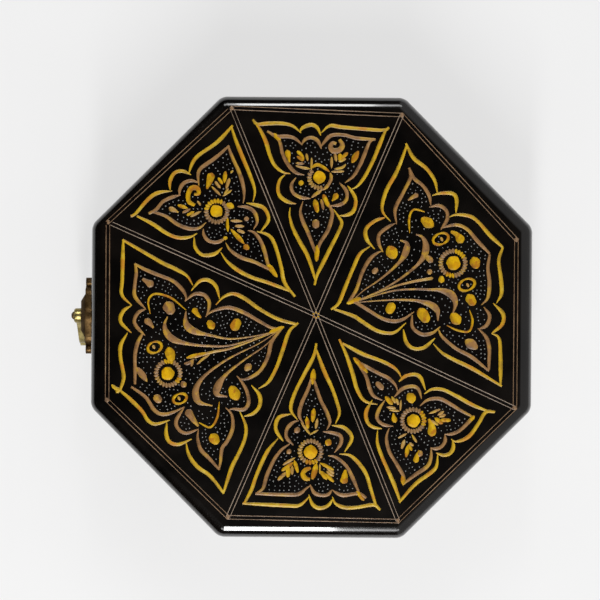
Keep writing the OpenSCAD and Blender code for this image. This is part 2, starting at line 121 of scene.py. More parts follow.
def easeEdges(piece, width, steps):
    takeUp(piece)
    ease = piece.modifiers.new("eased", "BEVEL")
    ease.width = width * mm
    ease.segments = steps
    ease.limit_method = "ANGLE"
    ease.angle_limit = math.radians(box["sharp"])
    bpy.ops.object.modifier_apply(modifier="eased")


def pickOut(piece, kind, test):
    # selects the faces or edges that pass the test and leaves the piece in edit mode
    bpy.ops.object.mode_set(mode="EDIT")
    bpy.ops.mesh.select_mode(type=kind)
    bpy.ops.mesh.select_all(action="DESELECT")
    bpy.ops.object.mode_set(mode="OBJECT")
    for part in (piece.data.polygons if kind == "FACE" else piece.data.edges):
        part.select = test(part)
    bpy.ops.object.mode_set(mode="EDIT")


def octagonSlab(name, apothem, thick, low):
    # an eight-sided slab with its sides where the box has them, its underside at the height low
    deselectAll()
    bpy.ops.mesh.primitive_cylinder_add(
        vertices=8, radius=apothem / math.cos(mitre) * mm, depth=thick * mm,
        location=(0, 0, (low + thick / 2) * mm), rotation=(0, 0, mitre))
    slab = bpy.context.view_layer.objects.active
    slab.name = name
    bpy.ops.object.transform_apply(location=True, rotation=True, scale=True)
    return slab


def setUp(piece, material, body, slotName, *nodes):
    piece.data.materials.clear()
    piece.data.materials.append(material)
    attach(piece, body)
    if nodes:
        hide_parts(*nodes)


# Finishes

def newFinish(name):
    finish = bpy.data.materials.new(name)
    finish.use_nodes = True
    nodes = finish.node_tree.nodes
    shader = nodes["Principled BSDF"]
    return finish, nodes, finish.node_tree.links, shader


def speckle(nodes, links, scale, detail=3, roughness=0.5):
    place = nodes.new("ShaderNodeTexCoord")
    noise = nodes.new("ShaderNodeTexNoise")
    noise.inputs["Scale"].default_value = scale
    noise.inputs["Detail"].default_value = detail
    noise.inputs["Roughness"].default_value = roughness
    links.new(place.outputs["Object"], noise.inputs["Vector"])
    return noise


def ramp(nodes, links, source, stops):
    colours = nodes.new("ShaderNodeValToRGB")
    while len(colours.color_ramp.elements) < len(stops):
        colours.color_ramp.elements.new(0.5)
    for element, (at, colour) in zip(colours.color_ramp.elements, stops):
        element.position = at
        element.color = (*colour, 1)
    links.new(source, colours.inputs["Fac"])
    return colours


def span(nodes, links, source, low, high, start=0, end=1):
    mapped = nodes.new("ShaderNodeMapRange")
    mapped.inputs["From Min"].default_value = start
    mapped.inputs["From Max"].default_value = end
    mapped.inputs["To Min"].default_value = low
    mapped.inputs["To Max"].default_value = high
    links.new(source, mapped.inputs["Value"])
    return mapped


def mixed(nodes, links, kind, share, first, second):
    # share, first and second are sockets; without a share it is whole, without a second its own
    mix = nodes.new("ShaderNodeMix")
    mix.data_type = "RGBA"
    mix.blend_type = kind
    mix.inputs["Factor"].default_value = 1
    if share is not None:
        links.new(share, mix.inputs["Factor"])
    links.new(first, mix.inputs[6])
    if second is not None:
        links.new(second, mix.inputs[7])
    return mix


def relief(nodes, links, source, shader, depth, strength, below=None):
    bump = nodes.new("ShaderNodeBump")
    bump.inputs["Strength"].default_value = strength
    bump.inputs["Distance"].default_value = depth * mm
    links.new(source, bump.inputs["Height"])
    if below is not None:
        links.new(below.outputs["Normal"], bump.inputs["Normal"])
    links.new(bump.outputs["Normal"], shader.inputs["Normal"])
    return bump


lacquerLook = {
    "dark": (0.0010, 0.0007, 0.0005), "light": (0.0035, 0.0024, 0.0017),
    "cloudScale": 60, "cloudFrom": 0.35, "cloudTo": 0.7,
    "roughLow": 0.16, "roughHigh": 0.30, "underShine": 0.15,
    "coat": 1.0, "coatRough": 0.05,
    "waveScale": 34, "waveDepth": 0.10, "waveShare": 0.5,    # the slow unevenness of hand rubbing
    "dustScale": 1500, "dustDepth": 0.004, "dustShare": 0.6,
}


def blackLacquer():
    look = lacquerLook
    finish, nodes, links, shader = newFinish("blackLacquer")
    cloud = speckle(nodes, links, look["cloudScale"], detail=4)
    colours = ramp(nodes, links, cloud.outputs["Fac"],
                   [(look["cloudFrom"], look["dark"]), (look["cloudTo"], look["light"])])
    links.new(colours.outputs["Color"], shader.inputs["Base Color"])
    rough = span(nodes, links, cloud.outputs["Fac"], look["roughLow"], look["roughHigh"])
    links.new(rough.outputs["Result"], shader.inputs["Roughness"])
    shader.inputs["Specular IOR Level"].default_value = look["underShine"]
    shader.inputs["Coat Weight"].default_value = look["coat"]
    shader.inputs["Coat Roughness"].default_value = look["coatRough"]
    wave = speckle(nodes, links, look["waveScale"], detail=1)
    slow = relief(nodes, links, wave.outputs["Fac"], shader, look["waveDepth"], look["waveShare"])
    dust = speckle(nodes, links, look["dustScale"], detail=2)
    relief(nodes, links, dust.outputs["Fac"], shader, look["dustDepth"], look["dustShare"], slow)
    return finish


enamelLook = {
    "patchScale": 260, "patchStops": (0.36, 0.47, 0.58, 0.70),
    "mottle": 105, "seldom": 0.54, "fade": 0.1,              # patches of the other colour
    "hairScale": 2.2, "hairStretch": (2.5, 26, 1), "hairDark": 0.70, "hairPale": 1.24,
    "hairDepth": 0.03, "hairShare": 0.5,
    "thinFrom": 0.12, "thinTo": 0.25, "thinEdge": 0.68,      # from the crest round to the edge
    "rough": 0.38, "shine": 0.35,
}


def brushedPaint(name, body, pale, deep, other=None, mottle=enamelLook["mottle"],
                 seldom=enamelLook["seldom"], shine=enamelLook["shine"]):
    # Enamel laid with a loaded brush: streaks run along the stroke, it thins towards its edges,
    # and here and there the brush had picked up the other colour
    look = enamelLook
    finish, nodes, links, shader = newFinish(name)
    patch = speckle(nodes, links, look["patchScale"], detail=4, roughness=0.6)
    colours = ramp(nodes, links, patch.outputs["Fac"],
                   list(zip(look["patchStops"], (deep, body, body, pale))))
    load = speckle(nodes, links, mottle, detail=2)
    picked = ramp(nodes, links, load.outputs["Fac"],
                  [(seldom, (0, 0, 0)), (seldom + look["fade"], (1, 1, 1))])
    blend = mixed(nodes, links, "MIX", picked.outputs["Color"], colours.outputs["Color"], None)
    blend.inputs[7].default_value = (*(other or body), 1)
    along = nodes.new("ShaderNodeTexCoord")
    stretch = nodes.new("ShaderNodeMapping")
    stretch.inputs["Scale"].default_value = look["hairStretch"]
    links.new(along.outputs["UV"], stretch.inputs["Vector"])
    hairs = nodes.new("ShaderNodeTexNoise")
    hairs.inputs["Scale"].default_value = look["hairScale"]
    hairs.inputs["Detail"].default_value = 2
    links.new(stretch.outputs["Vector"], hairs.inputs["Vector"])
    streak = span(nodes, links, hairs.outputs["Fac"], look["hairDark"], look["hairPale"])
    streaked = mixed(nodes, links, "MULTIPLY", None, blend.outputs[2], streak.outputs["Result"])
    around = nodes.new("ShaderNodeSeparateXYZ")
    links.new(along.outputs["UV"], around.inputs["Vector"])
    fromMiddle = nodes.new("ShaderNodeMath")
    fromMiddle.operation = "PINGPONG"
    fromMiddle.inputs[1].default_value = 0.5
    links.new(around.outputs["Y"], fromMiddle.inputs[0])
    thin = span(nodes, links, fromMiddle.outputs["Value"], 1, look["thinEdge"],
                look["thinFrom"], look["thinTo"])
    whole = mixed(nodes, links, "MULTIPLY", None, streaked.outputs[2], thin.outputs["Result"])
    links.new(whole.outputs[2], shader.inputs["Base Color"])
    shader.inputs["Roughness"].default_value = look["rough"]
    shader.inputs["Specular IOR Level"].default_value = shine
    relief(nodes, links, hairs.outputs["Fac"], shader, look["hairDepth"], look["hairShare"])
    return finish


brassLook = {
    "patinaScale": 260, "patinaFrom": 0.34, "patinaTo": 0.62,
    "roughMore": 0.16, "roughLess": 0.06,        # deep places are duller, rubbed ones shine
    "grainScale": 1700, "grainShare": 0.5,
}


def castBrass(name, bright, deep, rough, pits):
    look = brassLook
    finish, nodes, links, shader = newFinish(name)
    patina = speckle(nodes, links, look["patinaScale"], detail=5, roughness=0.65)
    colours = ramp(nodes, links, patina.outputs["Fac"],
                   [(look["patinaFrom"], deep), (look["patinaTo"], bright)])
    links.new(colours.outputs["Color"], shader.inputs["Base Color"])
    worn = span(nodes, links, patina.outputs["Fac"], rough + look["roughMore"],
                rough - look["roughLess"])
    links.new(worn.outputs["Result"], shader.inputs["Roughness"])
    shader.inputs["Metallic"].default_value = 1
    grain = speckle(nodes, links, look["grainScale"])
    relief(nodes, links, grain.outputs["Fac"], shader, pits, look["grainShare"])
    return finish


velvetLook = {
    "deep": (0.10, 0.004, 0.014), "pale": (0.22, 0.012, 0.032), "napScale": 90,
    "napFrom": 0.3, "napTo": 0.7, "rough": 0.92,
    "sheen": 0.8, "sheenRough": 0.35, "sheenTint": (0.75, 0.22, 0.30, 1),
    "pileScale": 3800, "pileDepth": 0.12, "pileShare": 0.7,
}


def velvetCloth():
    look = velvetLook
    finish, nodes, links, shader = newFinish("wineVelvet")
    nap = speckle(nodes, links, look["napScale"], detail=4, roughness=0.6)
    colours = ramp(nodes, links, nap.outputs["Fac"],
                   [(look["napFrom"], look["deep"]), (look["napTo"], look["pale"])])
    links.new(colours.outputs["Color"], shader.inputs["Base Color"])
    shader.inputs["Roughness"].default_value = look["rough"]
    shader.inputs["Sheen Weight"].default_value = look["sheen"]
    shader.inputs["Sheen Roughness"].default_value = look["sheenRough"]
    shader.inputs["Sheen Tint"].default_value = look["sheenTint"]
    pile = speckle(nodes, links, look["pileScale"], detail=2)
    relief(nodes, links, pile.outputs["Fac"], shader, look["pileDepth"], look["pileShare"])
    return finish


lacquer = blackLacquer()
dabMottle = 280      # the patches of the other colour are smaller in dabs than in long strokes
# body, pale, deep, and the colour left in the brush
enamels = {
    "yellow": ((0.47, 0.285, 0.006), (0.54, 0.385, 0.035), (0.34, 0.20, 0.008),
               (0.44, 0.19, 0.006)),
    "dab": ((0.48, 0.270, 0.004), (0.57, 0.37, 0.012), (0.36, 0.19, 0.005), (0.35, 0.14, 0.008)),
    "heart": ((0.57, 0.320, 0.002), (0.66, 0.40, 0.006), (0.46, 0.235, 0.002),
              (0.50, 0.24, 0.002)),
    "copper": ((0.26, 0.130, 0.040), (0.33, 0.190, 0.075), (0.16, 0.080, 0.028),
               (0.38, 0.21, 0.022)),
    "sprig": ((0.38, 0.215, 0.045), (0.48, 0.33, 0.11), (0.28, 0.135, 0.03), (0.42, 0.25, 0.012)),
    "tuft": ((0.24, 0.130, 0.045), (0.31, 0.19, 0.07), (0.14, 0.075, 0.03), (0.30, 0.17, 0.02)),
    "tan": ((0.21, 0.125, 0.065), (0.28, 0.18, 0.10), (0.12, 0.065, 0.035)),
    "paleTan": ((0.27, 0.20, 0.145), (0.34, 0.27, 0.20), (0.18, 0.13, 0.09)),
    "dot": ((0.24, 0.24, 0.23), (0.36, 0.35, 0.33), (0.12, 0.12, 0.12)),
}
yellowPaint = brushedPaint("yellowPaint", *enamels["yellow"])
copperPaint = brushedPaint("copperPaint", *enamels["copper"])
yellowDab = brushedPaint("yellowDab", *enamels["dab"], mottle=dabMottle, seldom=0.52, shine=0.12)
heartPaint = brushedPaint("heartPaint", *enamels["heart"], mottle=dabMottle, seldom=0.55,
                          shine=0.12)
copperDab = brushedPaint("copperDab", *enamels["copper"], mottle=dabMottle, seldom=0.50)
sprigPaint = brushedPaint("sprigPaint", *enamels["sprig"], mottle=200)
tuftPaint = brushedPaint("tuftPaint", *enamels["tuft"])
tanPaint = brushedPaint("tanPaint", *enamels["tan"])
paleTanPaint = brushedPaint("paleTanPaint", *enamels["paleTan"])
dotPaint = brushedPaint("dotPaint", *enamels["dot"])
# bright, deep, roughness, and the depth of the casting's pits in millimetres
metals = {
    "agedBrass": ((0.125, 0.075, 0.030), (0.035, 0.019, 0.007), 0.44, 0.02),
    "goldBrass": ((0.42, 0.34, 0.13), (0.17, 0.13, 0.04), 0.30, 0.008),
    "pinSteel": ((0.62, 0.60, 0.57), (0.38, 0.36, 0.34), 0.28, 0.006),
}
agedBrass, goldBrass, pinSteel = (castBrass(name, *look) for name, look in metals.items())
velvet = velvetCloth()
print("box: finishes mixed")


# Brush strokes

strokeWork = {
    "fewest": 10, "leastStep": 0.05,        # a short stroke still gets this many steps
    "wobble": 0.07, "waves": 9, "drift": 6.28, "seed": 5,
    "cutAt": -0.01, "swell": 0.3,           # cut level below the middle, then pressed flat
}
pressure = {
    "rise": 0.28, "fall": 0.34, "roundLeast": 0.03, "foot": 0.22,
    "plumeFoot": 0.12, "plumeRun": 0.10, "plumeSwell": 0.40, "plumeBelly": 0.45,
    "bellyAt": 0.82, "bellyRun": 0.10, "tipAt": 0.86, "tipFall": 3.4,
}


def smoothed(points, step):
    # a smooth line through the points, with one place about every step
    if len(points) < 3:
        middle = tuple((a + b) / 2 for a, b in zip(points[0], points[-1]))
        points = [points[0], middle, points[-1]]
    knots = [tuple(2 * a - b for a, b in zip(points[0], points[1])), *points,
             tuple(2 * a - b for a, b in zip(points[-1], points[-2]))]
    line = [points[0]]
    for a, b, c, d in zip(knots, knots[1:], knots[2:], knots[3:]):
        count = max(2, round(math.dist(b, c) / step))
        for i in range(1, count + 1):
            t = i / count
            line.append(tuple(
                0.5 * (2 * q + (r - p) * t + (2 * p - 5 * q + 4 * r - s) * t * t
                       + (3 * q - p - 3 * r + s) * t ** 3)
                for p, q, r, s in zip(a, b, c, d)))
    return line


def bluntness(points, width):
    # the share of a stroke that its round end takes up
    return min(0.5, width / 2 / max(math.dist(points[0], points[-1]), 0.1))


def pressed(share, head, tail, blunt):
    # how wide the brush stands at a share of the stroke: it lands, swells and lifts
    press = pressure
    if head == "oval":
        return math.sqrt(max(1 - (2 * share - 1) ** 2, press["roundLeast"]))
    if head in ("grow", "shrink"):      # a thin foot that fattens to a round end, or back again
        along = share if head == "grow" else 1 - share
        roundEnd = max(1 - (max(along - 1 + blunt, 0) / blunt) ** 2, press["roundLeast"])
        return (press["foot"] + (1 - press["foot"]) * along) * math.sqrt(roundEnd)
    if head == "plume":     # a long thin foot, fullest where it bends over, and a drawn-out tip
        stem = press["plumeFoot"] + press["plumeRun"] * share + press["plumeSwell"] * share ** 2
        belly = math.exp(-((share - press["bellyAt"]) / press["bellyRun"]) ** 2)
        return stem + press["plumeBelly"] * belly \
            - press["tipFall"] * max(share - press["tipAt"], 0)
    rise = min(share / press["rise"], 1)
    fall = min((1 - share) / press["fall"], 1)
    return (head + (1 - head) * math.sin(rise * math.pi / 2)) * \
        (tail + (1 - tail) * math.sin(fall * math.pi / 2))


def turnedBy(point, degrees):
    turn = math.radians(degrees)
    return (point[0] * math.cos(turn) - point[1] * math.sin(turn),
            point[0] * math.sin(turn) + point[1] * math.cos(turn))


def brushWork(name, strokes, height, step=1.1, resolution=2, wobble=strokeWork["wobble"]):
    # strokes: (points, width, head, tail); one tapered tube each, cut level and pressed flat
    hand = random.Random(strokeWork["seed"])
    line = bpy.data.curves.new(name, "CURVE")
    line.dimensions = "3D"
    line.bevel_depth = mm / 2
    line.bevel_resolution = resolution
    line.use_fill_caps = True
    for points, width, head, tail in strokes:
        short = math.dist(points[0], points[-1]) / strokeWork["fewest"] + strokeWork["leastStep"]
        path = smoothed(points, min(step, short))
        spline = line.splines.new("POLY")
        spline.points.add(len(path) - 1)
        blunt = bluntness(path, width)
        drift = hand.uniform(0, strokeWork["drift"])
        for i, (x, y) in enumerate(path):
            share = i / (len(path) - 1)
            spline.points[i].co = (x * mm, y * mm, 0, 1)
            uneven = 1 + wobble * math.sin(drift + strokeWork["waves"] * share) \
                + wobble * hand.uniform(-0.5, 0.5)
            spline.points[i].radius = width * pressed(share, head, tail, blunt) * uneven
    piece = bpy.data.objects.new(name, line)
    bpy.context.scene.collection.objects.link(piece)
    takeUp(piece)
    bpy.ops.object.convert(target="MESH")
    piece = bpy.context.view_layer.objects.active
    bpy.ops.object.mode_set(mode="EDIT")
    bpy.ops.mesh.select_all(action="SELECT")
    bpy.ops.mesh.bisect(plane_co=(0, 0, strokeWork["cutAt"] * mm), plane_no=(0, 0, 1),
                        use_fill=True, clear_inner=True)
    bpy.ops.object.mode_set(mode="OBJECT")
    for vertex in piece.data.vertices:
        slope = strokeWork["swell"] * vertex.co.z / (height * mm)
        vertex.co.z = height * mm * math.tanh(slope)
    return piece


def layOnLid(piece):
    # lifts the flat work to the lid's face and lets it follow the rounded edge
    radius = box["roundR"]
    flat = box["half"] - radius
    for vertex in piece.data.vertices:
        reach = max(turnedBy((vertex.co.x / mm, vertex.co.y / mm), -turn)[0] for turn in sideTurns)
        over = min(max(reach - flat, 0), radius * box["paintTo"])
        vertex.co.z += (box["topZ"] - radius + math.sqrt(radius * radius - over * over)) * mm


def layOnSides(piece, name, turns, middle):
    # copies the flat work to the sides at those turns: x across, y up, height outwards
    copies = []
    for turn in turns:
        stand = Matrix.Rotation(math.radians(turn - 90), 4, "Z") \
            @ Matrix.Translation((box["half"] * mm, 0, middle * mm)) \
            @ Matrix(((0, 0, 1, 0), (1, 0, 0, 0), (0, 1, 0, 0), (0, 0, 0, 1)))
        copy = bpy.data.objects.new(name, piece.data.copy())
        bpy.context.scene.collection.objects.link(copy)
        copy.data.transform(stand)
        copies.append(copy)
    bpy.data.objects.remove(piece)
    return joinAll(copies, name)


# The painter's layout
# Each panel is written in its own frame: across, and out from the lid's centre.

panelTurns = {"left": 90, "frontLeft": 135, "right": 270, "backRight": 315, "backWide": 22.5,
              "frontWide": 202.5}

outerStrokes = {
    "left": [
        [(-27.2, 91.4), (-25.2, 89.3), (-20, 89.6), (-13.5, 89.6), (-8.7, 88.4), (-4.9, 85.2)],
        [(-5.6, 85.4), (-4.2, 87.6), (-0.2, 89), (2.6, 87.6), (4.2, 84)],
        [(4.4, 85.2), (8.4, 88.5), (14.8, 87.8), (32.5, 86.5), (35.7, 87.8)],
        [(34.4, 87.2), (31.3, 79.6), (28.4, 72.5), (24.8, 65.5), (21.3, 60.8), (18.6, 59.3)],
        [(16.6, 60.8), (19.2, 57.2), (20.4, 53.7), (19.2, 49), (16, 47.2), (12.8, 47)],
        [(10.1, 49.9), (12.8, 46), (13.9, 43.4), (12.2, 39), (8.9, 32.5), (4.8, 24.3),
         (2.5, 19.6), (1.3, 14.9)],
        [(1.7, 17.5), (-1.6, 27.8), (-5.8, 35.5), (-8.7, 41.4), (-10.2, 47.2), (-9.9, 50.8)],
        [(-7.2, 52.5), (-11, 53.4), (-14.6, 56), (-15.6, 59.6), (-14.6, 63.7), (-12.2, 66)],
        [(-9.9, 66.4), (-13.4, 67.2), (-17, 70.2), (-19.3, 74.9), (-21, 80.8), (-23.4, 86),
         (-26.2, 90.4)],
    ],
    "frontLeft": [
        [(-26, 92.2), (-23.7, 91.4), (-14.6, 92), (-9.3, 90.8), (-4.3, 86.9)],
        [(-4.6, 87.8), (-2, 90.6), (2.2, 92), (5.6, 90), (7.2, 86)],
        [(6.6, 87), (11.3, 89.3), (16, 89.9), (26.6, 88.1), (36.9, 88.5)],
        [(35.9, 88.3), (33, 82.5), (29.5, 74.3), (26.6, 67.2), (23, 60.2), (18.6, 56.9)],
        [(16, 58.7), (18.9, 54.3), (20.1, 50.8), (17.8, 46), (11.3, 44.6)],
        [(10.1, 46), (12.2, 42.5), (12.8, 39), (10.7, 33.7), (6.6, 26.6), (2.5, 20.2),
         (1.3, 12.2)],
        [(1.4, 16), (-2.8, 25.5), (-6.4, 32.5), (-8.7, 39.6), (-9.3, 46), (-8.4, 51)],
        [(-6.4, 52), (-11, 52.5), (-15.2, 56), (-15.2, 60.8), (-12.2, 64.6)],
        [(-9.9, 64.9), (-13.4, 66), (-17.5, 69.6), (-19.9, 74.9), (-21.4, 82.5), (-24, 90.2)],
    ],
    "backRight": [
        [(-29, 90.8), (-26, 87.8), (-20.5, 89), (-14, 90.2), (-9.9, 89.6), (-6.4, 87.5),
         (-5.8, 85.2)],
        [(-6, 86), (-4, 88.6), (-1, 89.6), (1.9, 88.2), (3.6, 84.9)],
        [(3.2, 85.6), (7.8, 89.3), (11.9, 89.6), (20.7, 88.3), (31.9, 89)],
        [(31, 88.6), (27.8, 81.9), (24.8, 74.3), (22.5, 68.4), (19.5, 62.5), (15.4, 58.4)],
        [(13.4, 59.3), (15.7, 56), (16, 52.5), (13.1, 48.7), (7.2, 46.8)],
        [(6.9, 49.9), (9.2, 46.6), (10, 43.1), (8.4, 37.8), (4.8, 31.4), (0.7, 23.1),
         (-1.9, 16.1)],
        [(-1.6, 18.6), (-4.6, 28.4), (-8.1, 36), (-10.2, 42), (-10.5, 46), (-9.6, 49)],
        [(-7.5, 49.5), (-11.6, 49.9), (-15.2, 52.5), (-15.8, 55.5), (-13.4, 61)],
        [(-11.8, 61.8), (-15.8, 62.8), (-19.3, 66.6), (-21.6, 73.1), (-24, 81.4), (-27, 88.4)],
    ],
    "right": [
        [(-31.6, 89), (-28.7, 86.6), (-20.5, 87.8), (-15.2, 87.8), (-11, 86), (-9.6, 82.8)],
        [(-10, 83.6), (-7.4, 87), (-3.4, 88.1), (-0.3, 86.2), (1.3, 81.9)],
        [(1, 82.4), (2.5, 84.3), (6, 86.9), (11.9, 86.9), (31.9, 85.9)],
        [(31, 85.7), (27.8, 79.6), (26, 74.3), (23.6, 68.4), (20.1, 61.4), (15.4, 55.8)],
        [(13.1, 57.2), (16, 53.1), (16.6, 49.6), (14.8, 46), (9.5, 44.6)],
        [(6.6, 47.2), (9.2, 43.7), (9.5, 40.2), (7.2, 33.7), (3, 25.5), (-1, 17.8), (-2.2, 12)],
        [(-2.1, 15), (-5.8, 24.9), (-9.3, 32.5), (-11.6, 39), (-12.8, 44.3), (-11, 49)],
        [(-9.3, 49.9), (-14.6, 50.8), (-17.8, 53.7), (-18.4, 56.6), (-15.2, 62.2)],
        [(-12.8, 63.1), (-17.5, 63.7), (-21.6, 67.2), (-25.2, 72.5), (-27.2, 79), (-29.8, 87.4)],
    ],
    "backWide": [
        [(3.9, 94), (-3.3, 90.7), (-11.3, 88), (-15.3, 85.3), (-18.3, 80), (-18.5, 76.3)],
        [(-19, 80), (-24.7, 82.7), (-28, 82), (-30.3, 76.7), (-30.7, 73)],
        [(-31, 75.7), (-36.7, 76.7), (-43.3, 75.3), (-50, 71.7), (-57.6, 71)],
        [(-56.6, 71), (-50, 65), (-46, 60.7), (-41.3, 54.7), (-36, 50.3), (-32, 49), (-27, 50.7)],
        [(-29.7, 49), (-30, 44), (-28, 38.7), (-23.3, 37.3), (-18, 39)],
        [(-20, 37.3), (-18.7, 32), (-14, 26.7), (-7.3, 20), (-1.3, 14), (0, 9.7)],
        [(0.4, 11), (6.7, 18), (10, 20.3), (16.7, 25), (20, 29.3), (21, 33.3), (19, 39.3)],
        [(21.3, 37), (27.3, 36), (31.3, 38), (32.7, 42.7), (30.7, 49)],
        [(32.7, 47.3), (38, 49.3), (43.3, 53.3), (50, 59.3), (63, 69)],
        [(62, 68.8), (50, 73.7), (42, 76.3), (38.7, 74)],
        [(38.7, 74), (36.7, 80), (32.3, 82.3), (26, 80)],
        [(26.7, 81.3), (23.3, 85.3), (16.7, 87.7), (8.7, 90), (3.9, 94)],
    ],
    "frontWide": [
        [(2.7, 94.7), (-3.3, 91.7), (-10, 89), (-15.3, 88), (-18, 85.3), (-18.8, 78.7)],
        [(-19, 80.3), (-24, 82.7), (-28, 82.7), (-30.7, 79.3), (-30.7, 72.7)],
        [(-31, 75.7), (-36.7, 76.7), (-43.3, 75.3), (-50, 71.3), (-59.7, 68.6)],
        [(-59, 68.4), (-50, 60.7), (-45.3, 55.3), (-40, 50), (-34.7, 47.3), (-27.3, 47.3)],
        [(-30.3, 46.3), (-30.7, 42), (-28.7, 38), (-24, 36), (-18.3, 37.7)],
        [(-21, 35.3), (-20, 30), (-15.3, 24), (-8.7, 18), (-2, 12), (0, 6.7)],
        [(0, 8), (5.3, 14.7), (12.7, 20.7), (20, 25.3), (24, 29.3), (24.3, 34), (22.3, 38.7)],
        [(24.3, 36), (30, 35.3), (34, 37.3), (35.3, 41.3), (32.7, 46.7)],
        [(34.7, 45), (40, 46), (45.3, 50), (50, 54.3), (66.6, 67)],
        [(66, 66.9), (50, 74), (43.3, 77), (37, 74.7)],
        [(37, 74.7), (36, 79.3), (32, 82.3), (25.3, 79.7)],
        [(26, 81.3), (22, 86.3), (16.7, 88.7), (8, 90.7), (2.7, 94.7)],
        [(2.6, 94.2), (4.4, 96.2), (6.7, 97.3)],
        [(2.9, 94.6), (2.8, 95.8), (2.3, 96.7)],
    ],
}

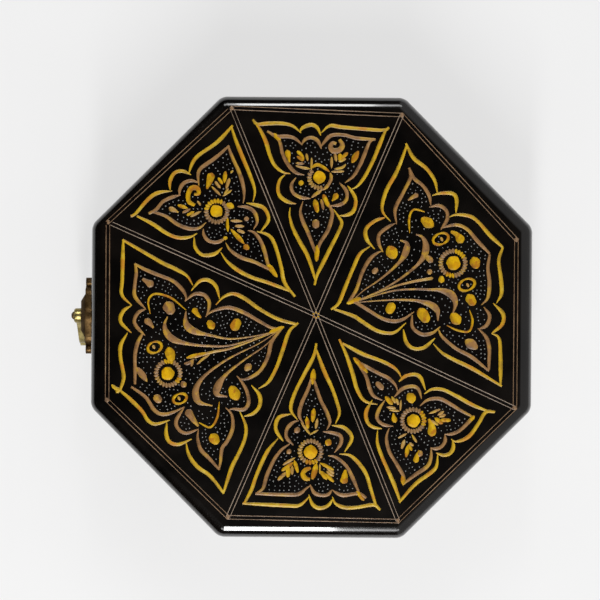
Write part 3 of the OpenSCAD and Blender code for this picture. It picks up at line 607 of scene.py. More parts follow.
innerStrokes = {
    "left": [
        [(-20.5, 86), (-16.3, 83.7), (-11, 83.6), (-7.5, 82.5), (-4.3, 79.6)],
        [(-4.6, 80), (-3, 82.2), (-0.2, 83.1), (2.8, 81.6), (4.5, 77.8)],
        [(4, 78.4), (5.7, 80.8), (8.9, 84), (14.8, 84.3), (20.7, 82.8), (29.5, 82.2)],
        [(28.6, 82.2), (26.6, 80.8), (24.5, 75.5), (22.5, 70.8), (19.5, 65.5), (15.4, 62.2)],
        [(12.8, 62.2), (16, 58.4), (16, 54.3), (13, 52), (8.6, 51.6)],
        [(5.4, 55.8), (9.2, 49.6), (9.2, 45.5), (7.2, 39.6), (3.6, 33.7), (2.2, 26.9)],
        [(2.2, 29), (-1.6, 39), (-4, 44.3), (-5.2, 49), (-4, 53.7)],
        [(-0.5, 54.9), (-5.2, 55.5), (-8.7, 57.8), (-9.3, 61.4), (-7.2, 64.6)],
        [(-3.4, 65.8), (-7.5, 67), (-11, 70.8), (-13.4, 75.5), (-14.6, 80.8), (-16.6, 84)],
    ],
    "frontLeft": [
        [(-19.3, 87.2), (-15.8, 86), (-11, 86.4), (-6.4, 84.9), (-2.8, 82.8)],
        [(-3.4, 83), (-1, 85), (2.2, 85.6), (5.4, 84), (7.2, 80.8)],
        [(6.2, 79.8), (9.2, 83.4), (12.5, 84.9), (20.7, 83.6), (29.2, 83)],
        [(28.4, 82.8), (26, 77.2), (23.6, 70.8), (20.7, 65.5), (17.8, 61.9), (14.8, 59.6)],
        [(11.9, 60.5), (14.8, 57.2), (15.7, 53.1), (13.4, 49), (9.8, 47.8)],
        [(7.5, 49.3), (8.9, 46.6), (8.4, 42), (6, 36.6), (3, 31.4), (2.2, 27)],
        [(2.2, 28.6), (-0.5, 36.6), (-3.4, 42.5), (-4.6, 48.4), (-3.7, 52.5)],
        [(-2.2, 54), (-6.4, 55.5), (-8.7, 59), (-8.1, 62.5), (-6.4, 64.3)],
        [(-3.4, 65.5), (-7.5, 66), (-11, 69), (-13.4, 74.3), (-14.6, 80.8), (-17.4, 86.4)],
    ],
    "backRight": [
        [(-21, 85.2), (-15.8, 85.5), (-11, 85.2), (-7.5, 83.7), (-5.2, 81.6)],
        [(-5.2, 81.8), (-3.2, 84), (-0.2, 84.6), (2.2, 83.6), (3.9, 81.4)],
        [(3.4, 81.4), (6.6, 84.6), (10.7, 86.4), (17.8, 85.2), (24.8, 84.3)],
        [(24.2, 84.4), (21.9, 81.9), (20.1, 75.5), (18.4, 69), (14.8, 63.7), (10.7, 61.4)],
        [(8.9, 62.2), (11.6, 58.4), (11.6, 54.3), (7.8, 52), (3, 51)],
        [(3.9, 50.2), (5.4, 46), (4.2, 42), (1.3, 36.6), (-0.5, 27.8)],
        [(-0.5, 29.6), (-3.4, 39.6), (-5.2, 44.9), (-5.2, 49.6), (-4, 52)],
        [(-1, 53), (-6.4, 53), (-10.5, 55.5), (-11.4, 58.4), (-9.3, 62.5)],
        [(-6.4, 64.3), (-11, 64.9), (-15.2, 68.4), (-17, 73.7), (-18.4, 79.6), (-19.9, 84.3)],
    ],
    "right": [
        [(-25.2, 83.4), (-21.6, 81.4), (-14.6, 82.2), (-11, 80.8), (-9.6, 79.6)],
        [(-9.4, 79.6), (-7.6, 81.8), (-4.6, 82.2), (-1.2, 81), (0.7, 77.2)],
        [(0.3, 77.4), (2.5, 79), (6, 81.6), (11.9, 81.9), (26, 81.4)],
        [(25.4, 81.2), (22.5, 79), (20.7, 73.1), (17.8, 66.6), (14.2, 61.4), (10.1, 58.4)],
        [(8.4, 59), (11.6, 55.5), (11.3, 51.4), (8.4, 48.4), (6, 47.8)],
        [(3.6, 49.3), (5.7, 45.5), (4.8, 40.2), (1.9, 33.7), (-0.8, 26)],
        [(-0.8, 28.4), (-4, 37.8), (-6.9, 43.7), (-8.4, 48.4), (-6.9, 52)],
        [(-5.2, 52.8), (-9.9, 53.4), (-13.4, 54.9), (-13.4, 58.4), (-10.5, 62.5)],
        [(-7.5, 63.9), (-11, 64.6), (-15.8, 68.4), (-18.7, 73.7), (-21.8, 80.8)],
    ],
    "backWide": [
        [(4.3, 87.3), (-3.3, 84.3), (-10, 82), (-14, 78), (-15.3, 71)],
        [(-14.6, 70.6), (-18, 75.3), (-22, 76.3), (-25.3, 74), (-26.3, 69.7)],
        [(-26.7, 70.7), (-31.3, 71.7), (-36.7, 70.7), (-41.3, 68.3), (-46.7, 68)],
        [(-46, 68), (-42, 66.7), (-36.7, 60.7), (-31.3, 54.7), (-24.7, 52.7)],
        [(-25.4, 52.4), (-25, 48), (-23.3, 43.3), (-19.3, 41.7), (-15.3, 42)],
        [(-15.8, 41.6), (-16, 40), (-14.7, 35.3), (-10, 29.3), (-4, 24), (0.3, 18)],
        [(0.3, 19.6), (1.3, 21.3), (6.7, 25.3), (12.7, 29.7), (16, 34), (17, 38.7), (15.7, 44.7)],
        [(16.7, 43.3), (22, 41.3), (26.7, 44), (28, 48.7), (26.7, 53.3)],
        [(27.3, 52), (31.3, 52.3), (38.7, 56), (45.3, 61.3), (54.2, 66.2)],
        [(53.6, 66.4), (50, 68), (44.7, 70.3), (39.3, 71), (34, 69)],
        [(34.6, 69.4), (34.3, 73.3), (30.7, 76.3), (26, 75.3)],
        [(24.7, 74.7), (22.7, 78.7), (16.7, 82), (10, 84), (4.6, 87.2)],
    ],
    "frontWide": [
        [(2.3, 89.3), (-4.7, 85), (-11.3, 83.7), (-14.7, 81.3), (-16, 76.7), (-15.7, 70)],
        [(-15.9, 70.4), (-20, 76), (-24, 76.7), (-27.3, 74), (-27.7, 68)],
        [(-28, 68.3), (-31.3, 70), (-36.7, 70.7), (-42, 68.7), (-48.7, 66.3)],
        [(-48, 66.2), (-46, 64.7), (-40, 61.3), (-38, 58), (-33.3, 53.3), (-27.3, 51.3),
         (-23.3, 52.7)],
        [(-25, 51.6), (-25, 50), (-27.3, 45.3), (-25.3, 42), (-20, 40.7), (-14.7, 41.3),
         (-11.7, 42.3)],
        [(-13.4, 42), (-14.7, 39.3), (-14.7, 35.3), (-13.3, 30.7), (-8.7, 25.3), (-3.3, 21.3),
         (1, 14)],
        [(1, 15.6), (2.7, 19), (8, 23.3), (14, 28), (18.7, 33.3), (20, 38.7), (20, 42.7),
         (19, 45.3)],
        [(19.6, 44.6), (21, 43), (24.7, 41), (28.7, 42), (30.7, 46), (29.3, 51.3)],
        [(29.6, 51), (30.7, 50), (34.7, 50.3), (40, 52.7), (45.3, 58), (50, 62.7), (54.2, 66.1)],
        [(53.6, 66), (50, 67), (44.7, 70), (40, 71.7), (32.7, 69.3)],
        [(33, 69.4), (32.7, 73.3), (30, 76.3), (26.7, 76.3), (21.7, 74.3)],
        [(22.4, 74.6), (22.7, 75.3), (20, 78.7), (15.3, 82), (8.7, 84.7), (2.7, 87.3)],
    ],
}

# What fills each panel: the flower is its place, its dot's and its ring's radius, golden along
# those degrees of the ring. A touch is its paint, its kind, its line and its width.
# leaf: pointed; daub: oval; comma: a round head that trails off; drop: the other way round
fillings = {
    "left": {
        "flower": (3.6, 64.5, 2.85, 5.8), "golden": [], "bare": (-80, 128),
        "touches": [
            ("copper", "curl", [(12.8, 82.2), (14.2, 79.6), (12.8, 77.4), (10, 77),
                                (8.7, 78.8), (9.8, 80.6), (11.4, 80.2)], 2.6),
            ("yellow", "comma", [(-11.4, 77.4), (-10.8, 74.6), (-10.2, 71.6)], 3.4),
            ("yellow", "leaf", [(-6.8, 76.8), (-5, 75.2), (-3.6, 72.4)], 1.8),
            ("yellow", "leaf", [(-6.8, 74.5), (-5.2, 73.2), (-3.8, 72.2)], 1.4),
            ("copper", "leaf", [(-2.5, 75.7), (-1.8, 72.2)], 1.3),
            ("sprig", "leaf", [(0, 73.8), (-0.2, 67.6)], 1.1),
            ("copper", "leaf", [(-7.3, 71.2), (-3.3, 71)], 1.3),
            ("sprig", "leaf", [(-7.3, 70), (-3.8, 69.1), (-0.4, 68.6)], 1.3),
            ("sprig", "leaf", [(9.2, 74.2), (9.2, 68.8)], 1.3),
            ("sprig", "leaf", [(10.7, 75.7), (11.4, 72)], 1.5),
            ("yellow", "leaf", [(13, 75.7), (13.2, 72)], 2.1),
            ("yellow", "leaf", [(16.6, 76.2), (12.8, 72.4)], 1.9),
            ("sprig", "leaf", [(15.8, 73.3), (12.4, 72)], 1.5),
            ("sprig", "leaf", [(15.8, 70.8), (14.2, 69.3), (10.4, 68.5)], 1.3),
            ("sprig", "leaf", [(15, 67.5), (9, 67.3)], 1.2),
            ("yellow", "daub", [(21.6, 76.9), (18.6, 71.4)], 2.8),
            ("yellow", "daub", [(-5.8, 62.8), (-4, 61.4)], 2.7),
            ("sprig", "leaf", [(4.6, 58.8), (2, 57), (-0.2, 55.3)], 1.7),
            ("yellow", "daub", [(1.4, 54.6), (2.7, 48.4)], 2.7),
            ("copper", "leaf", [(4.4, 54.6), (5.5, 49.6)], 1.5),
            ("yellow", "leaf", [(5.3, 56.8), (8, 50.8)], 2.2),
            ("yellow", "comma", [(11.6, 57.4), (10.9, 55.6), (9.4, 53.8)], 3.8),
            ("copper", "daub", [(1.9, 45.3), (1.9, 41.1)], 3.7),
            ("yellow", "daub", [(2.6, 33.4), (2.2, 25.8)], 2.5),
            ("yellow", "daub", [(-17.8, 85), (-14.4, 81.6)], 2.2),
            ("yellow", "leaf", [(-0.3, 69), (2.4, 70.5), (5, 69.6), (8.4, 67.2)], 1.7),
            ("copper", "leaf", [(8.6, 66.8), (9, 64), (7, 60.4), (4.4, 58.6)], 1.7),
        ],
    },
    "frontLeft": {
        "flower": (3.6, 65.6, 2.85, 6.0), "golden": [(15, 125)],
        "touches": [
            ("sprig", "comma", [(-10.9, 82.4), (-10, 80.2), (-9.2, 77.8)], 3.4),
            ("yellow", "curl", [(-1.6, 74.8), (-2.2, 78), (0, 80.6), (3, 81.4), (4.8, 79.6),
                                (3.6, 77.4), (1.8, 78.6)], 2.4),
            ("yellow", "drop", [(7.8, 76.2), (11, 77.8), (14.6, 79.8)], 5),
            ("yellow", "leaf", [(-7.1, 80.4), (-4.8, 76.1)], 1.8),
            ("copper", "leaf", [(-8, 76.4), (-4.2, 75)], 1.4),
            ("yellow", "leaf", [(-7.5, 74.1), (-3.7, 72.9)], 1.5),
            ("sprig", "leaf", [(-6.7, 72.5), (-1.4, 70.8)], 1.3),
            ("sprig", "leaf", [(0.7, 75.4), (0.3, 72.8)], 1.1),
            ("sprig", "leaf", [(10.1, 75.4), (10.1, 69.4)], 1.2),
            ("sprig", "leaf", [(12.8, 75.9), (12.4, 72)], 1.5),
            ("yellow", "leaf", [(15.1, 76.2), (14.4, 72.5)], 1.6),
            ("yellow", "leaf", [(19.6, 75.9), (15.4, 72.5)], 1.9),
            ("sprig", "leaf", [(18.6, 72.3), (14, 70)], 1.7),
            ("sprig", "leaf", [(15, 69.4), (11.5, 68.8)], 1.1),
            ("sprig", "leaf", [(15.5, 67.7), (10.5, 68.7)], 1.1),
            ("sprig", "leaf", [(20.7, 73.6), (22.5, 73.7)], 1),
            ("yellow", "daub", [(8.9, 64.9), (10.6, 61.4)], 3.2),
            ("yellow", "leaf", [(5, 60), (2.6, 57.6), (0.5, 55.2)], 1.4),
            ("sprig", "leaf", [(5.1, 58), (8.8, 54)], 1.4),
            ("sprig", "leaf", [(4.8, 54.9), (7.8, 51.7)], 1.5),
            ("sprig", "leaf", [(4.2, 52.9), (5.8, 49.4)], 1.6),
            ("yellow", "daub", [(2.4, 55.2), (2, 46)], 2.2),
            ("yellow", "daub", [(1.6, 45.8), (1.6, 42.8)], 2.8),
            ("copper", "daub", [(10, 54.2), (11.8, 52.8)], 2.3),
            ("yellow", "daub", [(-3.2, 54.6), (-1.4, 53.6)], 1.9),
            ("yellow", "daub", [(3.1, 32.6), (1.9, 24.4)], 2.5),
        ],
    },
    "backRight": {
        "flower": (0.5, 66.8, 3.0, 6.2), "golden": [(95, 185)],
        "touches": [
            ("yellow", "drop", [(-5, 71.4), (-3.9, 74.4), (-2, 76.6), (-0.2, 77.9)], 5.4),
            ("yellow", "leaf", [(-11.8, 79), (-8.5, 75.5)], 2),
            ("sprig", "leaf", [(-12, 75.6), (-9.1, 74.1)], 1.5),
            ("sprig", "leaf", [(-12.5, 73.8), (-9.1, 73.1)], 1.4),
            ("yellow", "leaf", [(-8.1, 77.5), (-7.4, 73)], 2.2),
            ("sprig", "leaf", [(-6.2, 76.5), (-5.3, 72.5)], 1.4),
            ("sprig", "leaf", [(-12, 72), (-6.8, 69.7)], 1.2),
            ("sprig", "leaf", [(6.5, 75.2), (5.5, 70.9)], 1.2),
            ("yellow", "leaf", [(14.8, 76.5), (10, 73.1)], 1.9),
            ("yellow", "leaf", [(10.8, 76.2), (9.6, 73)], 1.4),
            ("sprig", "leaf", [(8.7, 75.2), (9, 72.8)], 1.3),
            ("sprig", "leaf", [(13.5, 72.3), (9.5, 70.3)], 1.7),
            ("sprig", "leaf", [(11.2, 67.7), (6.7, 69.1)], 1.1),
            ("yellow", "drop", [(8.2, 78.6), (11, 79.8), (13.6, 81.3)], 3.6),
            ("copper", "daub", [(7.8, 79.2), (10.4, 80.6)], 2.6),
            ("yellow", "daub", [(-8.2, 59.6), (-4.2, 58)], 5.2),
            ("yellow", "comma", [(6.9, 61.8), (6, 59.8), (4.6, 58)], 3.6),
            ("sprig", "leaf", [(1.6, 59.5), (-2.3, 56.1)], 1),
            ("sprig", "leaf", [(1.9, 59.3), (5, 55.5)], 1.1),
            ("sprig", "leaf", [(0.2, 57), (-1.1, 54)], 1.4),
            ("sprig", "leaf", [(2.2, 57.2), (4.8, 53.8)], 1.4),
            ("sprig", "leaf", [(0.6, 55.4), (-0.4, 51.9)], 1.5),
            ("yellow", "daub", [(2, 55), (1.8, 49.9)], 2.4),
            ("copper", "daub", [(0.2, 47), (0, 42.2)], 2.9),
            ("yellow", "daub", [(-0.1, 36.4), (-0.6, 26.8)], 2.6),
            ("yellow", "daub", [(24.9, 84.8), (21.4, 81)], 2.2),
            ("yellow", "daub", [(-21, 85.2), (-17.6, 85.5)], 2.1),
        ],
    },
    "right": {
        "flower": (0.5, 62, 3.1, 6.1), "golden": [(55, 120)],
        "touches": [
            ("yellow", "comma", [(-14.6, 76.8), (-15.2, 74), (-15.6, 70.4)], 5.2),
            ("yellow", "leaf", [(-10.2, 76), (-6.2, 72)], 1.7),
            ("yellow", "leaf", [(-7.2, 74.8), (-3.9, 70.8)], 2.2),
            ("sprig", "leaf", [(-10.2, 73.4), (-6.8, 71)], 1.5),
            ("sprig", "leaf", [(-10.4, 72.1), (-6.8, 69.4)], 1.4),
            ("yellow", "leaf", [(-10.2, 70.5), (-7, 68.8), (-3.9, 67.2)], 1.6),
            ("sprig", "leaf", [(-3.8, 72.4), (-3.8, 67.4)], 0.9),
            ("yellow", "leaf", [(-0.3, 74.8), (-1.4, 71), (-2.3, 67.2)], 2.6),
            ("yellow", "curl", [(0.8, 74.8), (3, 74.3), (4.1, 72.4), (3, 70.6), (0.4, 69.5)], 2.4),
            ("yellow", "leaf", [(6.3, 71.7), (8.1, 65.8)], 1.8),
            ("copper", "leaf", [(9, 72.7), (9, 68.4)], 1.5),
            ("yellow", "daub", [(11, 73.9), (10.7, 68.9)], 2.5),
            ("copper", "leaf", [(15.6, 75.2), (11.6, 71.5)], 1.8),
            ("yellow", "leaf", [(13.8, 70.9), (8.5, 67)], 1.8),
            ("sprig", "leaf", [(13.3, 68.2), (7.5, 64.7)], 1.3),
            ("copper", "daub", [(9.6, 62.6), (11.4, 61.4)], 2.6),
            ("yellow", "daub", [(-9, 58.6), (-6.4, 57)], 3.4),
            ("copper", "daub", [(5.6, 52.8), (7.8, 51.4)], 3.3),
            ("sprig", "leaf", [(0.9, 54.2), (-3.2, 51.9)], 1),
            ("sprig", "leaf", [(0.7, 54), (5, 48.4)], 1.3),
            ("sprig", "leaf", [(-1.9, 51.4), (-2.7, 46.6)], 1.5),
            ("yellow", "daub", [(-0.4, 48.4), (-1.1, 42)], 2.3),
            ("yellow", "leaf", [(1.7, 51.4), (2.3, 45.8)], 1.9),
            ("yellow", "daub", [(-0.4, 31), (-0.9, 23.8)], 2.6),
            ("yellow", "daub", [(-24.2, 84.6), (-20.8, 80.2)], 2.2),
        ],
    },
    "backWide": {
        "flower": (1.9, 69.9, 3.2, 6.8), "golden": [(87, 147), (292, 340)],
        "eyes": [(-10.7, 69, 2.5, 3.7), (13.5, 72, 2.6, 3.8)],
        "plumes": [
            [(0, 20.5), (-2.3, 27), (-4, 35.3), (-6.7, 44), (-10, 50.4), (-14.6, 53.7),
             (-17.3, 51.4)],
            [(0.7, 21), (0.8, 30), (0.2, 38.7), (-1.4, 47), (-4, 55), (-7, 59.5), (-11, 61.6),
             (-14.8, 61.4), (-17, 59.2)],
            [(1.2, 21.5), (1.8, 30), (3.2, 40), (6, 48.5), (8.7, 54.5), (11, 59.5), (14, 63),
             (17, 64.2), (20, 63.6), (23.2, 61)],
            [(1.6, 22), (4.2, 30), (7, 38), (10.5, 46), (13, 50), (16, 53.4), (19.5, 54.8),
             (23.8, 53.2)],
        ],
        "arcs": [
            [(-25, 67), (-28, 62.7), (-25.3, 59.3), (-18.7, 56.7)],
            [(24.7, 68.7), (30, 68), (33.7, 64.7), (31.3, 60), (27.3, 56.3)],
        ],
        "touches": [
            ("yellow", "drop", [(-12, 74.6), (-9.6, 76.6), (-5.2, 77.6)], 5.2),
            ("yellow", "daub", [(2.8, 79.6), (8.4, 79.2)], 5),
            ("yellow", "daub", [(17.8, 70.6), (23.6, 71.6)], 4.8),
            ("yellow", "daub", [(-23, 64.4), (-17.2, 68)], 5),
            ("yellow", "daub", [(23, 60.4), (29, 62)], 5.2),
            ("copper", "daub", [(36.8, 61.6), (42.6, 65.2)], 4.8),
            ("yellow", "daub", [(15.2, 47.4), (22.6, 48.8)], 5.6),
            ("yellow", "daub", [(-16.8, 45.4), (-10.4, 46)], 5.6),
            ("yellow", "daub", [(8.2, 37.4), (11.8, 33.2)], 4.6),
            ("copper", "daub", [(-9.4, 36.8), (-8, 33.8)], 2.8),
            ("copper", "comma", [(-33.9, 67.2), (-33.4, 64.4), (-33, 61.8)], 3.2),
            ("copper", "daub", [(-6, 59.6), (-2.2, 61.4)], 3),
            ("copper", "daub", [(0.6, 59.4), (2.2, 57.4)], 2.6),
            ("yellow", "daub", [(5.2, 62.8), (8.2, 61.4)], 3),
            ("sprig", "drop", [(0.9, 20.5), (1.3, 38.7), (2.5, 48.7), (4.7, 58.8)], 1.5),
            ("yellow", "daub", [(0.3, 24.4), (0.3, 17.4)], 2.4),
        ],
    },
    "frontWide": {
        "flower": (1.5, 71.1, 3.0, 6.7), "golden": [(-52, -12), (200, 230)],
        "eyes": [(-11.4, 70.6, 2.2, 3.2), (15, 72.3, 2.5, 3.3)],
        "plumes": [
            [(-0.6, 17.5), (-3.8, 25), (-6, 35.3), (-8.7, 45.3), (-12, 51.3), (-16, 54),
             (-19, 50)],
            [(0, 17.5), (-1.8, 27), (-2.5, 38.7), (-3.6, 47), (-6, 56), (-9, 61),
             (-12.4, 63.2), (-16.4, 63), (-20.2, 58)],
            [(0.8, 17.5), (1.2, 29), (2.7, 40.7), (6, 49), (10, 56.5), (14.7, 62.6),
             (19, 64.6), (23, 64), (25.8, 61.4)],
            [(0.6, 18.5), (2.2, 28), (5.3, 38.7), (10, 46), (14, 51.6), (17.6, 54.4),
             (21, 54.4), (24.8, 52.6)],
        ],
        "arcs": [
            [(-25, 66.7), (-29, 62.7), (-26, 58), (-19.7, 54.3)],
            [(30, 68.3), (36, 66.7), (37.7, 62.7), (33.3, 56.7), (25.3, 52.3)],
        ],
        "touches": [
            ("yellow", "daub", [(5.8, 67.4), (12.6, 66.4)], 4.8),
            ("copper", "daub", [(-9.6, 79.4), (-5.4, 80.8)], 4),
            ("copper", "leaf", [(9.8, 84), (6, 82.6), (1.6, 81.6)], 3),
            ("copper", "drop", [(-26.4, 67.6), (-22.6, 68.6), (-17.4, 69.6)], 4.8),
            ("yellow", "daub", [(-37.4, 62.4), (-32, 63.6)], 5),
            ("copper", "drop", [(23.4, 69.4), (25.8, 70), (28.8, 71.4)], 4.2),
            ("copper", "comma", [(41.6, 62), (43.8, 63.6), (46.4, 65.4)], 4.8),
            ("copper", "daub", [(26, 58.8), (32.4, 59.4)], 5.8),
            ("yellow", "drop", [(19.4, 47.2), (22, 48.4), (24.8, 48.8)], 3.8),
            ("yellow", "daub", [(12.4, 43.8), (17, 44.8)], 3.8),
            ("yellow", "daub", [(8.4, 36), (12.2, 31.4)], 5),
            ("yellow", "daub", [(-22.2, 46.2), (-15, 46.6)], 5.4),
            ("copper", "daub", [(-11, 37.8), (-9, 34.2)], 3.4),
            ("copper", "daub", [(-7.4, 66.2), (-4.4, 66.8)], 3),
            ("copper", "leaf", [(2.8, 62.6), (2.2, 60.4), (3, 57.4)], 1.6),
            ("copper", "leaf", [(0.4, 60), (3.2, 58)], 1.4),
            ("sprig", "leaf", [(0.2, 57.2), (1.4, 54), (2.2, 50)], 1.2),
            ("yellow", "leaf", [(4.8, 60.6), (4.2, 56), (3, 50)], 1.9),
            ("sprig", "drop", [(0.2, 17.5), (1, 38.7), (2.7, 48), (4, 57.5)], 1.7),
            ("yellow", "daub", [(0.9, 21), (0.9, 13.4)], 2.4),
        ],
    },
}

# W: widths; T: how thick the paint stands; ends, cusp and tip: a stroke's ends against its width
brush = {
    "outerW": 1.7, "innerW": 1.65, "cusp": 0.22, "tip": 0.6,
    "plumeW": 3.6, "touchShare": 0.92, "arcW": 1.0, "arcEnds": (0.4, 0.3),
    "eyeW": 1.25, "eyeEnds": (0.3, 0.3), "pupil": ((-0.7, 0.2), (1.3, 0.4)), "pupilW": 1.3,
    "lineW": 0.33, "linePair": 0.83,
    "paintT": 0.22, "lineT": 0.1, "dotT": 0.16,
}
paints = ("yellow", "copper", "sprig", "tuft", "heart")
touchShapes = {"leaf": (0.35, 0.1), "daub": ("oval", "oval"), "curl": (0.6, 0.5),
               "drop": ("grow", "grow"), "comma": ("shrink", "shrink")}
tufts = {"gap": 1.40, "long": 2.2, "wide": 1.45, "lean": 7}


def inPlace(points, panel):
    # from a panel's frame to the lid's, with the small turn of the painter's layout
    size = box["artScale"]
    return [turnedBy((x * size, y * size), panelTurns[panel] + box["handTurn"]) for x, y in points]


def crescent(x, y, radiusX, radiusY, above):
    # half an oval round the place, a twelfth of it past either side
    turns = [math.pi * (i / 12 if above else 1 + i / 12) for i in range(-1, 14)]
    return [(x + radiusX * math.cos(turn), y + radiusY * math.sin(turn)) for turn in turns]


def flowerRing(x, y, halo, golden, paint, bare=(0, 0)):
    # a rope of small tufts, golden along part of the ring and left out where it is bare
    strokes = []
    count = round(2 * math.pi * (halo - tufts["long"] / 2) / tufts["gap"])
    for i in range(count):
        turn = 360 * i / count
        isGolden = any((turn - start) % 360 < end - start for start, end in golden)
        isBare = (turn - bare[0]) % 360 < bare[1] - bare[0]
        if isBare or paint != ("yellow" if isGolden else "tuft"):
            continue
        root = turnedBy((halo - tufts["long"], 0), turn)
        tip = turnedBy((halo, 0), turn + tufts["lean"])
        points = [(x + root[0], y + root[1]), (x + tip[0], y + tip[1])]
        strokes.append((points, tufts["wide"], "oval", "oval"))
    return strokes


def heartStroke(x, y, dot):
    # a flower's middle: one touch, as wide as it is long
    return [(x - dot, y), (x, y + 0.2), (x + dot, y)], 2 * dot, "oval", "oval"


def panelStrokes(panel, paint):
    # every touch of one paint inside a panel, still in the panel's own frame
    filling = fillings[panel]
    strokes = []
    for colour, kind, points, width in filling["touches"]:
        if colour == paint:
            strokes.append((points, width * brush["touchShare"], *touchShapes[kind]))
    x, y, dot, halo = filling["flower"]
    strokes += flowerRing(x, y, halo, filling["golden"], paint, filling.get("bare", (0, 0)))
    if paint == "heart":
        strokes.append(heartStroke(x, y, dot))
    if paint == "yellow":
        for a, b, rx, ry in filling.get("eyes", []):
            strokes += [(crescent(a, b, rx, ry, above), brush["eyeW"], *brush["eyeEnds"])
                        for above in (True, False)]
        for arc in filling.get("arcs", []):
            strokes.append((arc, brush["arcW"], *brush["arcEnds"]))
    if paint == "sprig":
        for a, b, rx, ry in filling.get("eyes", []):
            points = [(a + u, b + v) for u, v in brush["pupil"]]
            strokes.append((points, brush["pupilW"], "oval", "oval"))
    if paint == "copper":
        for plume in filling.get("plumes", []):
            strokes.append((plume, brush["plumeW"], "plume", "plume"))
    return strokes


# The lid's painted face

def paintLidFamily(name, strokesOf, width, material, slotName, node):
    # three strokes run from tip to tip; between them they meet in cusps
    strokes = []
    for panel in panelTurns:
        for i, points in enumerate(strokesOf[panel]):
            head = brush["tip"] if i % 3 == 0 else brush["cusp"]
            tail = brush["tip"] if i % 3 == 2 else brush["cusp"]
            strokes.append((inPlace(points, panel), width, head, tail))
    piece = brushWork(name, strokes, brush["paintT"])
    layOnLid(piece)
    smoothOver(piece, angle=60)
    setUp(piece, material, "lid", slotName, node)


# The ruled border's corners as drawn, and six spokes that cross near the middle
ruled = {
    "corners": [(-94.1, 44.1), (-37.0, 96.8), (41.7, 93.5), (94.6, 35.9), (93.9, -41.9),
                (39.9, -94.1), (-38.7, -92.3), (-94.5, -38.2)],
    "spokes": [0, 1, 2, 4, 5, 6], "middle": (2, 1),
    "overrun": 0.6, "ends": (0.8, 0.8), "wobble": 0.16,
    "knot": (1.1, 0.3), "knotW": 1.3,                        # the blot where lines meet
    "goldFrom": 0.6, "goldTo": 1.4, "goldW": 0.75, "goldReach": 1.25,
}


def asRuled(point):
    # the corners are written with the latch to the left and the box's right side downwards
    size = box["artScale"]
    return turnedBy((-point[1] * size, point[0] * size), box["handTurn"])


def paintLidTouches(name, paint, material, slotName, *nodes):
    strokes = []
    for panel in panelTurns:
        for points, width, head, tail in panelStrokes(panel, paint):
            strokes.append((inPlace(points, panel), width, head, tail))
    if paint == "yellow":       # the spokes' crossing is touched in with gold
        x, y = asRuled(ruled["middle"])
        for turn in range(0, 360, 60):
            u, v = turnedBy((ruled["goldReach"], 0), turn)
            points = [(x + share * u, y + share * v)
                      for share in (ruled["goldFrom"], ruled["goldTo"])]
            strokes.append((points, ruled["goldW"], "oval", "oval"))
    piece = brushWork(name, strokes, brush["paintT"], step=0.7)
    layOnLid(piece)
    smoothOver(piece, angle=60)
    setUp(piece, material, "lid", slotName, *nodes)


paintLidFamily("outerScrolls", outerStrokes, brush["outerW"], yellowPaint,
               "yellow_paint", "outer_scrolls")
paintLidFamily("innerScrolls", innerStrokes, brush["innerW"], copperPaint,
               "copper_paint", "inner_scrolls")
paintLidTouches("yellowTouches", "yellow", yellowDab, "yellow_paint", "lid_flowers")
paintLidTouches("flowerHearts", "heart", heartPaint, "yellow_paint")
paintLidTouches("copperTouches", "copper", copperDab, "copper_paint")
paintLidTouches("sprigTouches", "sprig", sprigPaint, "copper_paint", "lid_sprays")
paintLidTouches("tuftRings", "tuft", tuftPaint, "copper_paint")
print("box: lid scrolls painted")

# Ruled double lines

def pairOfLines(start, end, overrun):
    length = math.dist(start, end)
    ux, uy = (end[0] - start[0]) / length, (end[1] - start[1]) / length
    pair = []
    for side in (-1, 1):
        shift = side * brush["linePair"]
        pair.append([(start[0] - ux * overrun - uy * shift, start[1] - uy * overrun + ux * shift),
                     (end[0] + ux * overrun - uy * shift, end[1] + uy * overrun + ux * shift)])
    return pair


def ruleLid():
    corners = ruled["corners"]
    border, spokes = [], []
    for i, corner in enumerate(corners):
        border += pairOfLines(corner, corners[(i + 1) % 8], ruled["overrun"])
    for i in ruled["spokes"]:
        spokes += pairOfLines(ruled["middle"], corners[i], 0)
    for name, lines, paint, nodes in (("lidRuledLines", border, tanPaint, ["lid_ruled_lines"]),
                                      ("lidSpokes", spokes, paleTanPaint, [])):
        strokes = [([asRuled(p) for p in line], brush["lineW"], *ruled["ends"]) for line in lines]
        if lines is border:
            for corner in corners:
                x, y = asRuled(corner)
                u, v = ruled["knot"]
                strokes.append(([(x - u, y - v), (x + u, y + v)], ruled["knotW"], "oval", "oval"))
        piece = brushWork(name, strokes, brush["lineT"], step=2.5, resolution=1,
                          wobble=ruled["wobble"])
        layOnLid(piece)
        smoothOver(piece, angle=60)
        setUp(piece, paint, "lid", "tan_paint", *nodes)


ruleLid()

# Stippled ground

stipple = {
    "gap": 1.85, "firstRow": 2.1, "deepest": 30, "jitter": 0.25, "clear": 0.7,
    "rowStep": 0.95, "apart": 0.83, "fillApart": 0.95,       # shares of the gap
    "keepIn": 0.9,                                           # share of the row's own inset
    "tries": 3000,
    "radii": (0.25, 0.31, 0.37), "sizes": (0, 1, 1, 2), "seed": 11,
}


def insideOf(contour, point):
    inside = False
    x, y = point
    for (ax, ay), (bx, by) in zip(contour, contour[1:] + contour[:1]):
        if (ay > y) != (by > y) and x < (bx - ax) * (y - ay) / (by - ay) + ax:
            inside = not inside
    return inside


